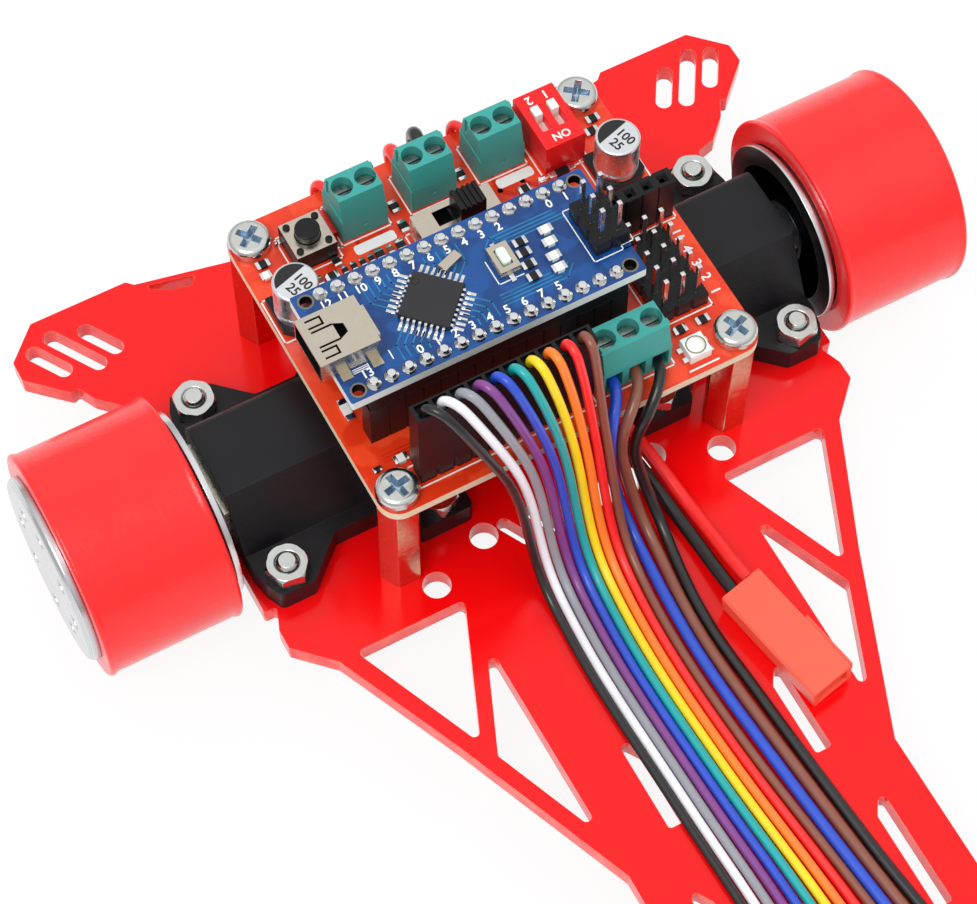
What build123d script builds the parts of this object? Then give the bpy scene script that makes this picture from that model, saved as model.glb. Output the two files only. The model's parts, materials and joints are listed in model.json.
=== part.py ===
"""Line follower robot: a laser-cut plate on two geared motors, carrying a controller board and its wiring.

Units are millimetres. X points to the robot's right, Y to its rear and Z up from the floor. The model is
worked out from the middle of the wheel axle and moved by AXLE_Y when it is written, so that the finished
part's origin lies on the floor below the middle of its outline.
"""

from build123d import *
from math import cos, pi, radians, sin, sqrt, tan
import os

# ------------------------------------------------------------------ wheels and drive
WHEEL_R = 16.15  # tread radius
TYRE_RIM = 0.25  # raised rim at both edges of the tread
TYRE_RIM_W = 1.3
TYRE_EDGE = 0.3  # bevel at both outer corners
TYRE_BORE_R = 12.95
TYRE_IN_X = 47.5
TYRE_OUT_X = 67.2
HUB_IN_X = 46.0
HUB_FLANGE_T = 0.9
HUB_FLANGE_R = 13.4
HUB_CAP_T = 1.5  # outer flange
HUB_CAP_R = 13.5
HUB_CAP_BEVEL = 0.6
HUB_RECESS_R = 10.4
HUB_RECESS_DEPTH = 9.0
HUB_BOSS_R = 4.6
DIMPLE_COUNT = 8
DIMPLE_RING_R = 8.6
DIMPLE_R = 1.1
DIMPLE_DEPTH = 0.5
FIT = 0.05  # clearance between pieces that push together by hand
RUN_FIT = 0.05  # radial clearance of a shaft that turns in its bearing

MOTOR_W = 12.0
MOTOR_H = 10.0
GEARBOX_L = 9.0
GEARBOX_PLATE_T = 1.0
GEARBOX_PILLAR_R = 1.1
GEARBOX_PILLAR = (4.6, 3.6)  # distances of the two pillars from the shaft's axis
MOTOR_CAN_L = 15.0
MOTOR_CAP_L = 0.9
MOTOR_CAP_STEP = 0.6
MOTOR_TAB = (0.4, 1.6, 2.2)
MOTOR_TAB_Y = 3.6
BEARING_R = 2.0
BEARING_L = 0.6
SHAFT_R = 1.5
SHAFT_FLAT = 1.0  # distance of the flat from the shaft's axis
SHAFT_REACH = 10.0  # beyond the gearbox face
SHAFT_TAIL = 8.0  # inside the gearbox
MOTOR_SEAT_GAP = 0.3

AXLE_Z = WHEEL_R + TYRE_RIM
AXLE_HEIGHT_ON_PLATE = MOTOR_H / 2 + MOTOR_SEAT_GAP
PLATE_TOP = AXLE_Z - AXLE_HEIGHT_ON_PLATE

# ------------------------------------------------------------------ controller board's outline
BOARD_W = 57.0
BOARD_D = 50.0
BOARD_T = 1.6
BOARD_CENTRE_Y = 2.35
BOARD_CORNER_R = 3.0
BOARD_SIDE_X = BOARD_W / 2
BOARD_REAR_Y = BOARD_CENTRE_Y + BOARD_D / 2
BOARD_FRONT_Y = BOARD_CENTRE_Y - BOARD_D / 2
HOLE_INSET = (3.0, 3.25, 3.2)  # from the board's side, rear and front edges
BOARD_HOLE_X = BOARD_SIDE_X - HOLE_INSET[0]
BOARD_HOLE_YS = (BOARD_REAR_Y - HOLE_INSET[1], BOARD_FRONT_Y + HOLE_INSET[2])

# ------------------------------------------------------------------ chassis plate
PLATE_T = 3.0
PLATE_BOTTOM = PLATE_TOP - PLATE_T
BAY_X = 45.0  # half width between the wheels
REAR_EDGE_Y = 36.0
WING_REAR_Y = 40.0
WING_X = 59.0
ARM_HALF = 20.3
ARM_ROOT_Y = -72.9
ARM_TIP_Y = -136.0
TIP_CHAMFER = 4.0
CORNER_R = 0.9
HOLE_R = 1.65  # clearance for an M3 screw
CABLE_HOLE_R = 2.0
CABLE_HOLES = ((BOARD_HOLE_X - 3.0, BOARD_HOLE_YS[1] - 4.75), (13.3, -20.6))
ARM_SLOT_W = 2.4
ARM_SLOTS = ((-69.8, 13.4, 10.3), (-95.5, 16.7, 7.9), (-122.0, 18.0, 7.9))  # front end, length, inset
CORNER_WINDOW_X = 36.75
CORNER_WINDOW_Y = BOARD_HOLE_YS[1] - 8.45
MIDDLE_SLOTS = ((9.2, -22.0), (5.0, -22.0))

# ------------------------------------------------------------------ motor brackets
BRACKET_IN_X = 13.2
BRACKET_OUT_X = BAY_X - 0.8  # the gearbox's face stands out beyond it
FLANGE_T = 4.0
FLANGE_HALF = 12.3
CAVITY_GAP = 0.15
BRACKET_ROOF = 2.85
BRACKET_WALL = 1.45
BRACKET_H = AXLE_HEIGHT_ON_PLATE + MOTOR_H / 2 + CAVITY_GAP + BRACKET_ROOF
BRACKET_REAR_Y = MOTOR_W / 2 + CAVITY_GAP + BRACKET_WALL
BRACKET_RIDGE_Y = -5.1  # front end of the roof
BRACKET_FOOT_Y = -10.1
BRACKET_RIDGE_R = 0.3
BRACKET_REAR_R = 2.0
LOBE_REACH = 17.6
BOLT_XS = (17.3, 40.0)
BOLT_Y = 14.45

# ------------------------------------------------------------------ fasteners
M3_R = 1.45
THREAD_END = 0.3  # bevel at the end of a thread
PAN_HEAD_R = 3.0
PAN_HEAD_H = 2.0
CROSS_W = 1.0
CROSS_L = 3.7
CROSS_DEPTH = 1.2
CROSS_HEART = 1.5
CROSS_TAPER = 20.0
SCREW_TURNS = (52.0, 22.0, 38.0, 12.0)
NUT_AF = 5.5
NUT_H = 2.4
NUT_BEVEL = 0.4
NUT_SINK = 0.3
NUT_SINK_R = 1.8
NUT_TURNS = (-18.0, -20.0, -25.0, 8.0)
BOLT_END = 0.6  # thread showing above a nut
DOME_NUT_H = 5.5
DOME_HEX_H = 2.4
DOME_CAVITY = 3.6
WASHER_T = 1.0
WASHER_R = 3.2
SPACER_AF = 5.5
SPACER_L = 20.0
SCREW_BITE = 5.0  # thread length inside a spacer
BOARD_BOTTOM = PLATE_TOP + SPACER_L
BOARD_TOP = BOARD_BOTTOM + BOARD_T

# ------------------------------------------------------------------ pin strips
PITCH = 2.54
PIN_W = 0.64
HEADER_W = 2.5
HEADER_H = 2.5
HEADER_NOTCH = 0.5
SOCKET_H = 8.5
SOCKET_GROOVE = (0.3, 0.3)
SOCKET_MOUTH = 1.5
SOCKET_MOUTH_DEPTH = 0.6
SOCKET_BORE = 1.1

# ------------------------------------------------------------------ screw terminals
TERMINAL_PITCH = 3.5
TERMINAL_H = 8.5
TERMINAL_END = 0.05  # half the gap between blocks set side by side
TERMINAL_HOLE_R = 1.5
TERMINAL_HOLE_DEPTH = 3.2
TERMINAL_BACK = 3.1
TERMINAL_FRONT = 3.1
TERMINAL_SHOULDER_H = 4.6
TERMINAL_TOP_HALF = 2.15
TERMINAL_INSET = 0.15  # of the upper part at both ends
TERMINAL_KEY = (0.45, 0.8, 2.6)  # tongue and slot that lock neighbours together
TERMINAL_KEY_Y = 1.4
TERMINAL_MARK_R = 0.45
TERMINAL_MARK_DEPTH = 0.1
CELL_W = 2.5
CELL_H = 3.3
CELL_FLOOR = 0.5
CELL_DEPTH = 3.4
MOTOR_TERMINAL_XS = (14.8 - BOARD_HOLE_X, BOARD_HOLE_X - 15.0)
POWER_TERMINAL_X = -0.1
REAR_TERMINAL_Y = BOARD_REAR_Y - 6.05
SENSOR_TERMINAL_Y = BOARD_FRONT_Y + 6.4

# ------------------------------------------------------------------ plugs and headers
PLUG_WIRES = 10
PLUG_L = 14.0
PLUG_W = 2.54
PLUG_END = 0.25  # housing wall beyond the last contact
PLUG_CAVITY = 2.0
PLUG_CAVITY_DEPTH = 0.95
PLUG_LATCH = (1.3, 0.6, 3.2)
PLUG_LATCH_Z = 6.4
PLUG_NOTCH = (0.5, 0.4, 1.0)
REAR_PLUG = (16.03 - BOARD_HOLE_X, BOARD_FRONT_Y + 4.05)
FRONT_PLUG = (-3.8, ARM_TIP_Y - 3.0)
PIN_HEADER = (BOARD_SIDE_X - 7.55, BOARD_FRONT_Y + 15.35)
SOCKET_HEADER = (BOARD_SIDE_X - 6.1, PIN_HEADER[1] + 9.4)

# The front terminal and the lamp share the room between the rear plug and the front right screw.
LED_W = 3.2
LED_H = 1.7
LED_LENS_R = 1.2
LED_LENS_DEPTH = 0.4
LED_PAD = (0.7, 0.8, 0.4)
FRONT_ROW_START = REAR_PLUG[0] + PLUG_WIRES * PITCH / 2 + PLUG_END
SENSOR_TERMINAL_L = 3 * TERMINAL_PITCH - 2 * TERMINAL_END
FRONT_ROW_SPARE = BOARD_HOLE_X - PAN_HEAD_R - FRONT_ROW_START - SENSOR_TERMINAL_L - LED_W
SENSOR_TERMINAL_X = FRONT_ROW_START + 0.31 * FRONT_ROW_SPARE + SENSOR_TERMINAL_L / 2
LED_CENTRE = (BOARD_HOLE_X - PAN_HEAD_R - 0.28 * FRONT_ROW_SPARE - LED_W / 2, BOARD_FRONT_Y + 3.35)

# ------------------------------------------------------------------ switches and capacitors
TACT_W = 6.0
TACT_H = 3.5
TACT_BUTTON_R = 1.75
TACT_BUTTON_TOP = 5.0
TACT_TRAVEL = 0.25
TACT_STUD = (2.15, 0.5, 0.3)  # place, radius and height of the rivet heads
TACT_WELL = 1.2
LEFT_TERMINAL_END = MOTOR_TERMINAL_XS[0] - TERMINAL_PITCH + TERMINAL_END
TACT_CENTRE = (6.8 - BOARD_HOLE_X, BOARD_REAR_Y - 7.65)
SLIDE_X = (-5.8, 6.3)
SLIDE_Y = (BOARD_REAR_Y - 16.75, BOARD_REAR_Y - 12.55)
SLIDE_H = 5.0
SLIDE_WALL = 0.4
SLIDE_WINDOW_X = (-2.8, 3.9)
SLIDE_WINDOW_Y = (SLIDE_Y[0] + 0.9, SLIDE_Y[1] - 0.9)
SLIDE_CHAMBER_DEPTH = 2.4
SLIDE_TRAVEL = 2.3
KNOB_X = (-0.3, 3.6)
KNOB_Y = (SLIDE_Y[0] - 0.6, SLIDE_Y[1] - 1.3)
KNOB_H = 4.0
KNOB_RIBS = 5
KNOB_GROOVE = (0.35, 4.0, 0.6)
KNOB_GROOVE_DEPTH = 0.4
DIP_MIDDLE_X = BOARD_HOLE_X - 6.9
DIP_X = (DIP_MIDDLE_X - 3.1, DIP_MIDDLE_X + 3.1)
DIP_Y = (BOARD_REAR_Y - 12.45, BOARD_REAR_Y - 2.75)
DIP_H = 6.0
DIP_SLOT_XS = (DIP_X[0] + 1.8, DIP_X[0] + 4.34)
DIP_SLOT_Y = (DIP_Y[0] + 2.9, DIP_Y[0] + 7.1)
DIP_SLOT_W = 1.4
DIP_SLOT_DEPTH = 1.6
DIP_SLIDER_L = 1.7
DIP_SLIDER_PROUD = 0.5
DIP_TRAVEL = 2.2

# ------------------------------------------------------------------ plug-in microcontroller board
NANO_L = 43.3
NANO_W = 18.0
NANO_PINS = 15
NANO_ROW_GAP = 15.24
NANO_HOLE_R = 0.85
NANO_HOLE_INSET = (1.7, 1.5)
SOCKETS_D = NANO_ROW_GAP + HEADER_W  # over both socket strips
NANO_FRONT_LIMIT = SENSOR_TERMINAL_Y + TERMINAL_BACK
NANO_SPARE = SLIDE_Y[0] - NANO_FRONT_LIMIT - SOCKETS_D
NANO_CENTRE = (-5.95, NANO_FRONT_LIMIT + 0.28 * NANO_SPARE + SOCKETS_D / 2)
NANO_BOTTOM = BOARD_TOP + SOCKET_H + HEADER_H
NANO_TOP = NANO_BOTTOM + BOARD_T
ICSP_HEADER = (NANO_CENTRE[0] + 19.2, NANO_CENTRE[1] - 0.5)
CHIP_W = 7.0
CHIP_H = 1.0
CHIP_LEADS = 8
CHIP_LEAD_PITCH = 0.8
CHIP_LEAD_W = 0.35
CHIP_LEAD_T = 0.15
CHIP_LEAD_SHOULDER = 0.6
CHIP_CENTRE = (NANO_CENTRE[0] - 5.65, NANO_CENTRE[1] - 0.3)
USB_BODY = (8.6, 7.7, 3.9)
USB_WALL = 0.3
USB_CENTRE = (NANO_CENTRE[0] - 19.25, NANO_CENTRE[1] - 0.5)
USB_TAB = (1.5, 1.3, 0.3)
USB_FLAP = (0.6, 5.0, 3.0)
RESET_CENTRE = (NANO_CENTRE[0] + 5.45, NANO_CENTRE[1] + 0.6)
RESET_W = 3.0
RESET_L = 4.4
RESET_H = 1.6
RESET_BUTTON = (1.3, 2.5)
RESET_TOP = 2.1
RESET_WELL = 0.7
RESET_TRAVEL = 0.2
BUTTON_GAP = 0.1
CAP_R = 3.15
CAP_H = 7.7
CAP_BASE_W = 6.6
CAP_BASE_H = 1.2
CAP_GROOVE = (0.9, 0.5, 0.25)  # height above the base, width and depth
CAP_X = BOARD_SIDE_X - 3.95
CAP_Y = (NANO_CENTRE[1] + SOCKETS_D / 2 + TACT_CENTRE[1] - TACT_W / 2) / 2 - 0.185

# ------------------------------------------------------------------ line sensor board under the arm's tip
SENSOR_BOARD_W = 75.0
SENSOR_BOARD_Y = (ARM_TIP_Y - 12.0, ARM_TIP_Y + 8.5)
SENSOR_TOP = PLATE_BOTTOM - WASHER_T
SENSOR_BOTTOM = SENSOR_TOP - BOARD_T
SENSOR_COUNT = 8
SENSOR_PITCH = 9.525
SENSOR_SIZE = (3.6, 2.9, 1.7)
SENSOR_EYE = (0.85, 0.6, 0.5)  # place, radius and depth of the two lenses
SENSOR_ROW_Y = ARM_TIP_Y - 8.3
TIP_BOLT = (ARM_HALF - 3.7, ARM_TIP_Y + 4.5)

# ------------------------------------------------------------------ outline of the whole part
REAR_REACH = WING_REAR_Y
FRONT_REACH = -SENSOR_BOARD_Y[0]
AXLE_Y = (FRONT_REACH - REAR_REACH) / 2

# ------------------------------------------------------------------ wires
RIBBON_R = 0.65
TERMINAL_WIRE_R = 0.8
BATTERY_WIRE_R = 1.0
MOTOR_WIRE_R = 0.7
RIBBON_COLOURS = ("black", "white", "grey", "purple", "blue", "teal", "yellow", "orange", "red", "brown")

# The ribbon's wires leave the rear plug upwards, fall in front of the board, lie side by side on the arm and
# rise over its tip into the front plug. Each station gives a point of the first and of the last wire.
RIBBON_STATIONS = (
    ((-20.90, -18.60, 48.45), (1.96, -18.60, 48.45)),
    ((-20.90, -18.62, 49.30), (1.96, -18.62, 49.30)),
    ((-20.60, -19.15, 50.05), (1.96, -19.15, 50.05)),
    ((-20.05, -19.97, 50.42), (1.97, -19.97, 50.42)),
    ((-19.40, -20.85, 50.15), (1.98, -20.80, 50.20)),
    ((-18.75, -21.60, 49.40), (1.99, -21.45, 49.50)),
    ((-17.60, -23.10, 47.30), (2.00, -22.05, 47.70)),
    ((-15.70, -25.10, 43.30), (2.05, -22.95, 44.30)),
    ((-13.10, -26.60, 36.70), (2.15, -24.30, 38.00)),
    ((-11.40, -27.20, 29.00), (2.35, -26.10, 31.00)),
    ((-10.60, -28.00, 21.50), (2.60, -27.70, 23.40)),
    ((-10.30, -29.90, 15.60), (2.75, -29.60, 17.20)),
    ((-10.30, -33.20, 12.45), (2.65, -32.40, 13.30)),
    ((-10.55, -38.20, 11.85), (2.30, -36.80, 11.85)),
    ((-10.85, -45.50, 11.85), (1.75, -43.50, 11.85)),
    ((-10.70, -53.50, 11.85), (1.60, -51.50, 11.85)),
    ((-10.35, -62.50, 11.85), (1.95, -60.50, 11.85)),
    ((-10.10, -72.50, 11.85), (2.70, -70.50, 11.85)),
    ((-9.60, -84.00, 11.85), (4.05, -82.50, 11.85)),
    ((-9.70, -96.50, 11.85), (5.30, -95.50, 11.85)),
    ((-10.90, -107.00, 12.60), (6.30, -107.00, 12.60)),
    ((-12.60, -116.00, 14.90), (7.05, -116.00, 14.90)),
    ((-14.10, -124.00, 19.10), (7.50, -124.00, 19.10)),
    ((-15.00, -129.60, 23.60), (7.61, -129.60, 23.60)),
    ((-15.20, -132.90, 27.35), (7.62, -132.90, 27.35)),
    ((-15.22, -135.28, 27.97), (7.63, -135.28, 27.97)),
    ((-15.23, -137.59, 27.12), (7.63, -137.59, 27.12)),
    ((-15.23, -139.00, 25.10), (7.63, -139.00, 25.10)),
    ((-15.23, -139.00, 22.65), (7.63, -139.00, 22.65)),
)

# Three single wires run from the front screw terminal along the ribbon to the sensor board.
TERMINAL_WIRES = {
    "terminal_wire_blue": (
        (6.95, -17.90, 34.50), (6.75, -19.80, 34.65), (5.90, -21.60, 34.55), (4.60, -23.30, 33.90),
        (3.70, -24.40, 32.20), (3.45, -24.75, 29.00), (3.45, -25.10, 24.50), (3.90, -26.00, 19.00),
        (4.50, -28.00, 14.50), (4.55, -31.00, 12.20), (4.20, -35.50, 12.00), (3.65, -42.00, 12.00),
        (3.35, -49.50, 12.00), (3.60, -57.50, 12.00), (4.25, -66.50, 12.00), (5.05, -77.00, 12.00),
        (6.10, -88.00, 12.00), (7.10, -98.00, 12.05), (8.40, -108.00, 12.40), (9.60, -117.50, 13.30),
        (10.40, -126.00, 14.50), (10.60, -132.50, 15.00), (10.60, -136.60, 13.90), (10.60, -139.20, 11.30),
        (10.60, -139.90, 9.10), (10.60, -139.90, 7.10),
    ),
    "terminal_wire_brown": (
        (10.35, -17.90, 34.50), (10.15, -19.80, 34.65), (9.20, -21.60, 34.60), (7.60, -23.30, 34.20),
        (5.95, -24.50, 32.70), (5.10, -25.00, 29.80), (5.05, -25.20, 25.80), (5.55, -26.40, 20.80),
        (6.20, -28.00, 16.00), (6.50, -30.60, 12.80), (6.15, -35.50, 12.00), (5.35, -42.00, 12.00),
        (5.05, -49.50, 12.00), (5.40, -57.50, 12.00), (6.05, -66.50, 12.00), (6.90, -77.00, 12.00),
        (7.85, -88.00, 12.00), (9.00, -98.00, 12.05), (10.50, -108.00, 12.40), (11.90, -117.50, 13.30),
        (12.80, -126.00, 14.50), (13.10, -132.50, 15.00), (13.10, -136.60, 13.90), (13.10, -139.20, 11.30),
        (13.10, -139.90, 9.10), (13.10, -139.90, 7.10),
    ),
    "terminal_wire_black": (
        (13.80, -17.90, 34.50), (13.55, -19.80, 34.75), (12.60, -21.60, 34.75), (11.10, -23.20, 34.10),
        (9.20, -24.50, 32.20), (7.60, -24.90, 29.20), (7.15, -25.00, 25.00), (7.60, -26.20, 20.50),
        (8.25, -28.30, 16.00), (8.55, -31.20, 12.90), (7.80, -36.50, 12.00), (6.95, -43.00, 12.00),
        (6.80, -50.00, 12.00), (7.35, -57.50, 12.00), (7.90, -66.50, 12.00), (8.70, -77.00, 12.00),
        (9.60, -88.00, 12.00), (10.90, -98.00, 12.05), (12.60, -108.00, 12.40), (14.20, -117.50, 13.60),
        (15.25, -126.00, 15.00), (15.60, -132.50, 15.50), (15.60, -136.60, 14.20), (15.60, -139.20, 11.40),
        (15.60, -139.90, 9.10), (15.60, -139.90, 7.10),
    ),
}


def round_the_edge(terminal_x, points):
    """Wire points given by their distance from a terminal's middle and from the board's rear edge."""
    return tuple((terminal_x + dx, BOARD_REAR_Y + dy, z) for dx, dy, z in points)


# The battery lead leaves the middle rear terminal, passes under the board between the brackets and ends in a
# plug that lies on the arm.
BATTERY_BLACK_BEND = (
    (1.75, -4.75, 34.90), (1.75, -2.75, 35.10), (1.85, -0.95, 35.85), (2.05, 0.65, 35.55),
    (2.25, 1.65, 33.90), (2.35, 1.75, 31.60), (2.30, 1.55, 28.60), (1.70, -0.75, 25.60),
)
BATTERY_RED_BEND = (
    (-1.75, -4.75, 34.30), (-1.75, -2.45, 34.33), (-1.70, 1.10, 34.36), (-1.50, 1.12, 30.60),
    (-1.20, 1.20, 27.40), (-0.70, -0.45, 23.60),
)
BATTERY_WIRES = {
    "battery_wire_black": (
        *round_the_edge(POWER_TERMINAL_X, BATTERY_BLACK_BEND),
        (1.00, 21.50, 24.00), (1.60, 15.00, 22.60), (3.20, 8.50, 20.60), (4.80, 2.00, 18.90),
        (6.90, -7.50, 16.90), (8.90, -16.00, 15.20), (10.40, -23.50, 13.40), (11.10, -30.00, 12.50),
        (11.50, -36.50, 12.60), (11.60, -42.00, 13.15), (11.85, -45.30, 13.55),
    ),
    "battery_wire_red": (
        *round_the_edge(POWER_TERMINAL_X, BATTERY_RED_BEND),
        (1.00, 21.80, 20.60), (3.90, 15.60, 19.40), (5.90, 9.50, 18.90), (7.50, 2.00, 18.20),
        (9.30, -7.50, 16.90), (11.10, -16.00, 15.20), (12.60, -23.50, 13.50), (13.30, -30.00, 12.70),
        (13.80, -36.50, 13.00), (13.90, -41.50, 13.75), (14.25, -44.70, 14.20),
    ),
}

# Each motor's leads pass under the board and come up round its rear edge into the terminal. A short sleeve
# of the same kind lies on the board beside the left terminal.
MOTOR_RED_BEND = (
    (-2.75, -6.35, 25.20), (-2.90, -0.50, 28.00), (-2.90, 1.00, 31.00), (-2.65, 0.85, 33.60),
    (-1.95, -0.95, 34.30), (-1.75, -3.35, 34.35),
)
MOTOR_BLACK_BEND = (
    (1.60, -7.55, 23.20), (1.75, -1.35, 26.50), (1.75, 0.95, 29.30), (1.75, 0.95, 32.60),
    (1.75, -0.75, 34.20), (1.75, -3.35, 34.40),
)
LEFT_TERMINAL_X, RIGHT_TERMINAL_X = MOTOR_TERMINAL_XS
MOTOR_LEADS = {
    "motor_lead_left_red": (
        (-17.90, -3.60, 16.40), (-15.20, -3.30, 16.45), (-12.40, -0.60, 17.60), (-12.10, 6.00, 20.00),
        (-12.90, 14.00, 22.60), *round_the_edge(LEFT_TERMINAL_X, MOTOR_RED_BEND),
    ),
    "motor_lead_left_black": (
        (-17.90, 3.60, 16.40), (-14.90, 3.70, 16.50), (-11.30, 5.60, 18.00), (-9.60, 12.50, 20.80),
        *round_the_edge(LEFT_TERMINAL_X, MOTOR_BLACK_BEND),
    ),
    "motor_lead_right_red": (
        (17.90, -3.60, 16.40), (15.20, -3.30, 16.45), (12.00, -1.00, 17.60), (9.90, 5.60, 20.00),
        (8.60, 13.40, 22.60), *round_the_edge(RIGHT_TERMINAL_X, MOTOR_RED_BEND),
    ),
    "motor_lead_right_black": (
        (17.90, 3.60, 16.40), (14.90, 3.70, 16.50), (11.60, 5.60, 18.00), (11.40, 12.50, 20.80),
        *round_the_edge(RIGHT_TERMINAL_X, MOTOR_BLACK_BEND),
    ),
}
SLEEVE_X = LEFT_TERMINAL_END - 0.78
SLEEVE_Y = (REAR_TERMINAL_Y - 2.0, REAR_TERMINAL_Y + 2.3)
BATTERY_PLUG_L = 18.5
BATTERY_PLUG_W = 6.6
BATTERY_PLUG_H = 4.4
BATTERY_PLUG_WALL = 0.8
BATTERY_PLUG_MOUTH = 7.0
BATTERY_PLUG_REAR = (13.05, -45.25)
BATTERY_PLUG_YAW = 10.2
BATTERY_PLUG_ROLL = 8.0


# ------------------------------------------------------------------ helpers
def block(x, y, z):
    """A box between two limits on each axis."""
    size = (x[1] - x[0], y[1] - y[0], z[1] - z[0])
    middle = (sum(x) / 2, sum(y) / 2, sum(z) / 2)
    return Pos(*middle) * Box(*size)


def block_at(centre, size, z0):
    """A box standing on the height z0, given its middle in plan and its three sizes."""
    return Pos(centre[0], centre[1], z0 + size[2] / 2) * Box(*size)


def column(centre, radius, z):
    """An upright round bar between two heights."""
    return Pos(centre[0], centre[1], sum(z) / 2) * Cylinder(radius, z[1] - z[0])


def polygon(points):
    """A flat face with the given corners."""
    return make_face(Polyline(*points, close=True))


def prism(face, z):
    """A flat face raised between two heights."""
    return Pos(0, 0, z[0]) * extrude(face, z[1] - z[0])


def hexagon(centre, across_flats, z):
    """An upright six-sided bar."""
    return Pos(centre[0], centre[1], 0) * prism(RegularPolygon(across_flats / 2, 6, major_radius=False), z)


def mirrored(shape):
    """The shape on the other side of the robot's middle plane."""
    return mirror(shape, about=Plane.YZ)


def both(shape):
    """The shape on the right and its mirror image on the left."""
    return [shape, mirrored(shape)]


def solids(pieces):
    """Separate solids that share one node."""
    found = []
    for piece in pieces:
        found.extend(piece.solids())
    return Compound(found)


def row(count, pitch, middle=0.0):
    """Evenly spaced places about a middle."""
    return [middle + (k - (count - 1) / 2) * pitch for k in range(count)]


def grid(centre, columns, rows, pitch=PITCH):
    """The places of a block of pins."""
    return [(x, y) for x in row(columns, pitch, centre[0]) for y in row(rows, pitch, centre[1])]


def cut(shape, tools):
    """The shape less every tool in a list."""
    return shape - list(tools)


# ------------------------------------------------------------------ chassis plate
def half_outline():
    """The corners of the plate's right half, from the rear edge's middle to the arm's tip."""
    return [
        (24.2, REAR_EDGE_Y),
        (38.3, REAR_EDGE_Y + 3.0),
        (39.3, WING_REAR_Y),
        (WING_X - 4.8, WING_REAR_Y),
        (WING_X, WING_REAR_Y - 4.8),
        (WING_X, WING_REAR_Y - 8.0),
        (WING_X - 5.4, 26.8),
        (WING_X - 6.4, 27.2),
        (WING_X - 7.7, 24.6),
        (BAY_X + 3.2, 21.5),
        (BAY_X, 20.6),
        (BAY_X, -16.8),
        (BAY_X - 1.9, -16.8),
        (BAY_X - 0.6, -20.1),
        (BAY_X - 0.6, -23.1),
        (BAY_X - 5.6, -28.1),
        (ARM_HALF + 10.7, -46.8),
        (ARM_HALF + 1.8, -68.5),
        (ARM_HALF, ARM_ROOT_Y),
        (ARM_HALF, ARM_TIP_Y + TIP_CHAMFER),
        (ARM_HALF - TIP_CHAMFER, ARM_TIP_Y),
    ]


def rounded(points, radius=CORNER_R):
    """A face with every corner rounded."""
    face = polygon(points)
    return fillet(face.vertices(), radius)


def arm_slot(front_y, length, inset):
    """One of the long weight-saving slots beside the wiring, pointed at its rear end."""
    x = ARM_HALF - inset
    rear_y = front_y + length
    return rounded(
        [
            (x, front_y),
            (x + ARM_SLOT_W, front_y),
            (x + ARM_SLOT_W, rear_y - 0.6),
            (x + 1.5, rear_y),
            (x, rear_y - ARM_SLOT_W),
        ],
        0.5,
    )


def plate_windows():
    """The weight-saving openings of the plate's right half."""
    corner_window = rounded(
        [
            (CORNER_WINDOW_X, CORNER_WINDOW_Y),
            (ARM_HALF - 0.1, CORNER_WINDOW_Y),
            (ARM_HALF + 8.0, -47.5),
        ],
        0.7,
    )
    arm_window = rounded([(ARM_HALF + 0.3, -34.7), (ARM_HALF + 6.85, -50.2), (ARM_HALF + 0.1, -66.8)], 0.7)
    rear_slit = rounded([(38.2, 38.3), (29.8, 36.4), (31.0, 35.0), (33.9, 35.7)], 0.3)
    wing_slots = [
        Pos(x, 33.0) * Rot(0, 0, 58) * SlotOverall(length, 2.4)
        for x, length in ((46.4, 7.5), (50.4, 10.5), (54.4, 7.5))
    ]
    middle_slots = [Pos(*place) * Rot(0, 0, 62) * SlotOverall(5.6, 1.9) for place in MIDDLE_SLOTS]
    arm_slots = [arm_slot(*slot) for slot in ARM_SLOTS]
    return [corner_window, arm_window, rear_slit, *wing_slots, *middle_slots, *arm_slots]


def plate_holes():
    """Screw and cable holes of the plate's right half."""
    places = [(x, y) for x in BOLT_XS for y in (BOLT_Y, -BOLT_Y)]
    places += [(BOARD_HOLE_X, y) for y in BOARD_HOLE_YS]
    places.append(TIP_BOLT)
    holes = [Pos(*place) * Circle(HOLE_R) for place in places]
    return holes + [Pos(*place) * Circle(CABLE_HOLE_R) for place in CABLE_HOLES]


def chassis_plate():
    """The red plate, cut from one sheet."""
    right = half_outline()
    left = [(-x, y) for x, y in reversed(right)]
    face = rounded(right + left, CORNER_R / 2)
    for opening in plate_windows() + plate_holes():
        face -= opening
        face -= mirrored(opening)
    return prism(face, (PLATE_BOTTOM, PLATE_TOP))


# ------------------------------------------------------------------ motor bracket
def flange_outline():
    """The corners of the right bracket's foot, with a lobe round each bolt."""
    inner, outer = BOLT_XS
    front = [
        (BRACKET_IN_X, -LOBE_REACH),
        (inner + 4.2, -LOBE_REACH),
        (inner + 4.9, -15.2),
        (inner + 8.3, -FLANGE_HALF),
        (outer - 8.2, -FLANGE_HALF),
        (outer - 2.6, -LOBE_REACH),
        (outer + 2.4, -LOBE_REACH),
        (BRACKET_OUT_X - 0.6, -15.2),
        (BRACKET_OUT_X, -FLANGE_HALF),
    ]
    rear = [(x, -y) for x, y in reversed(front)]
    return front + rear


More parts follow.
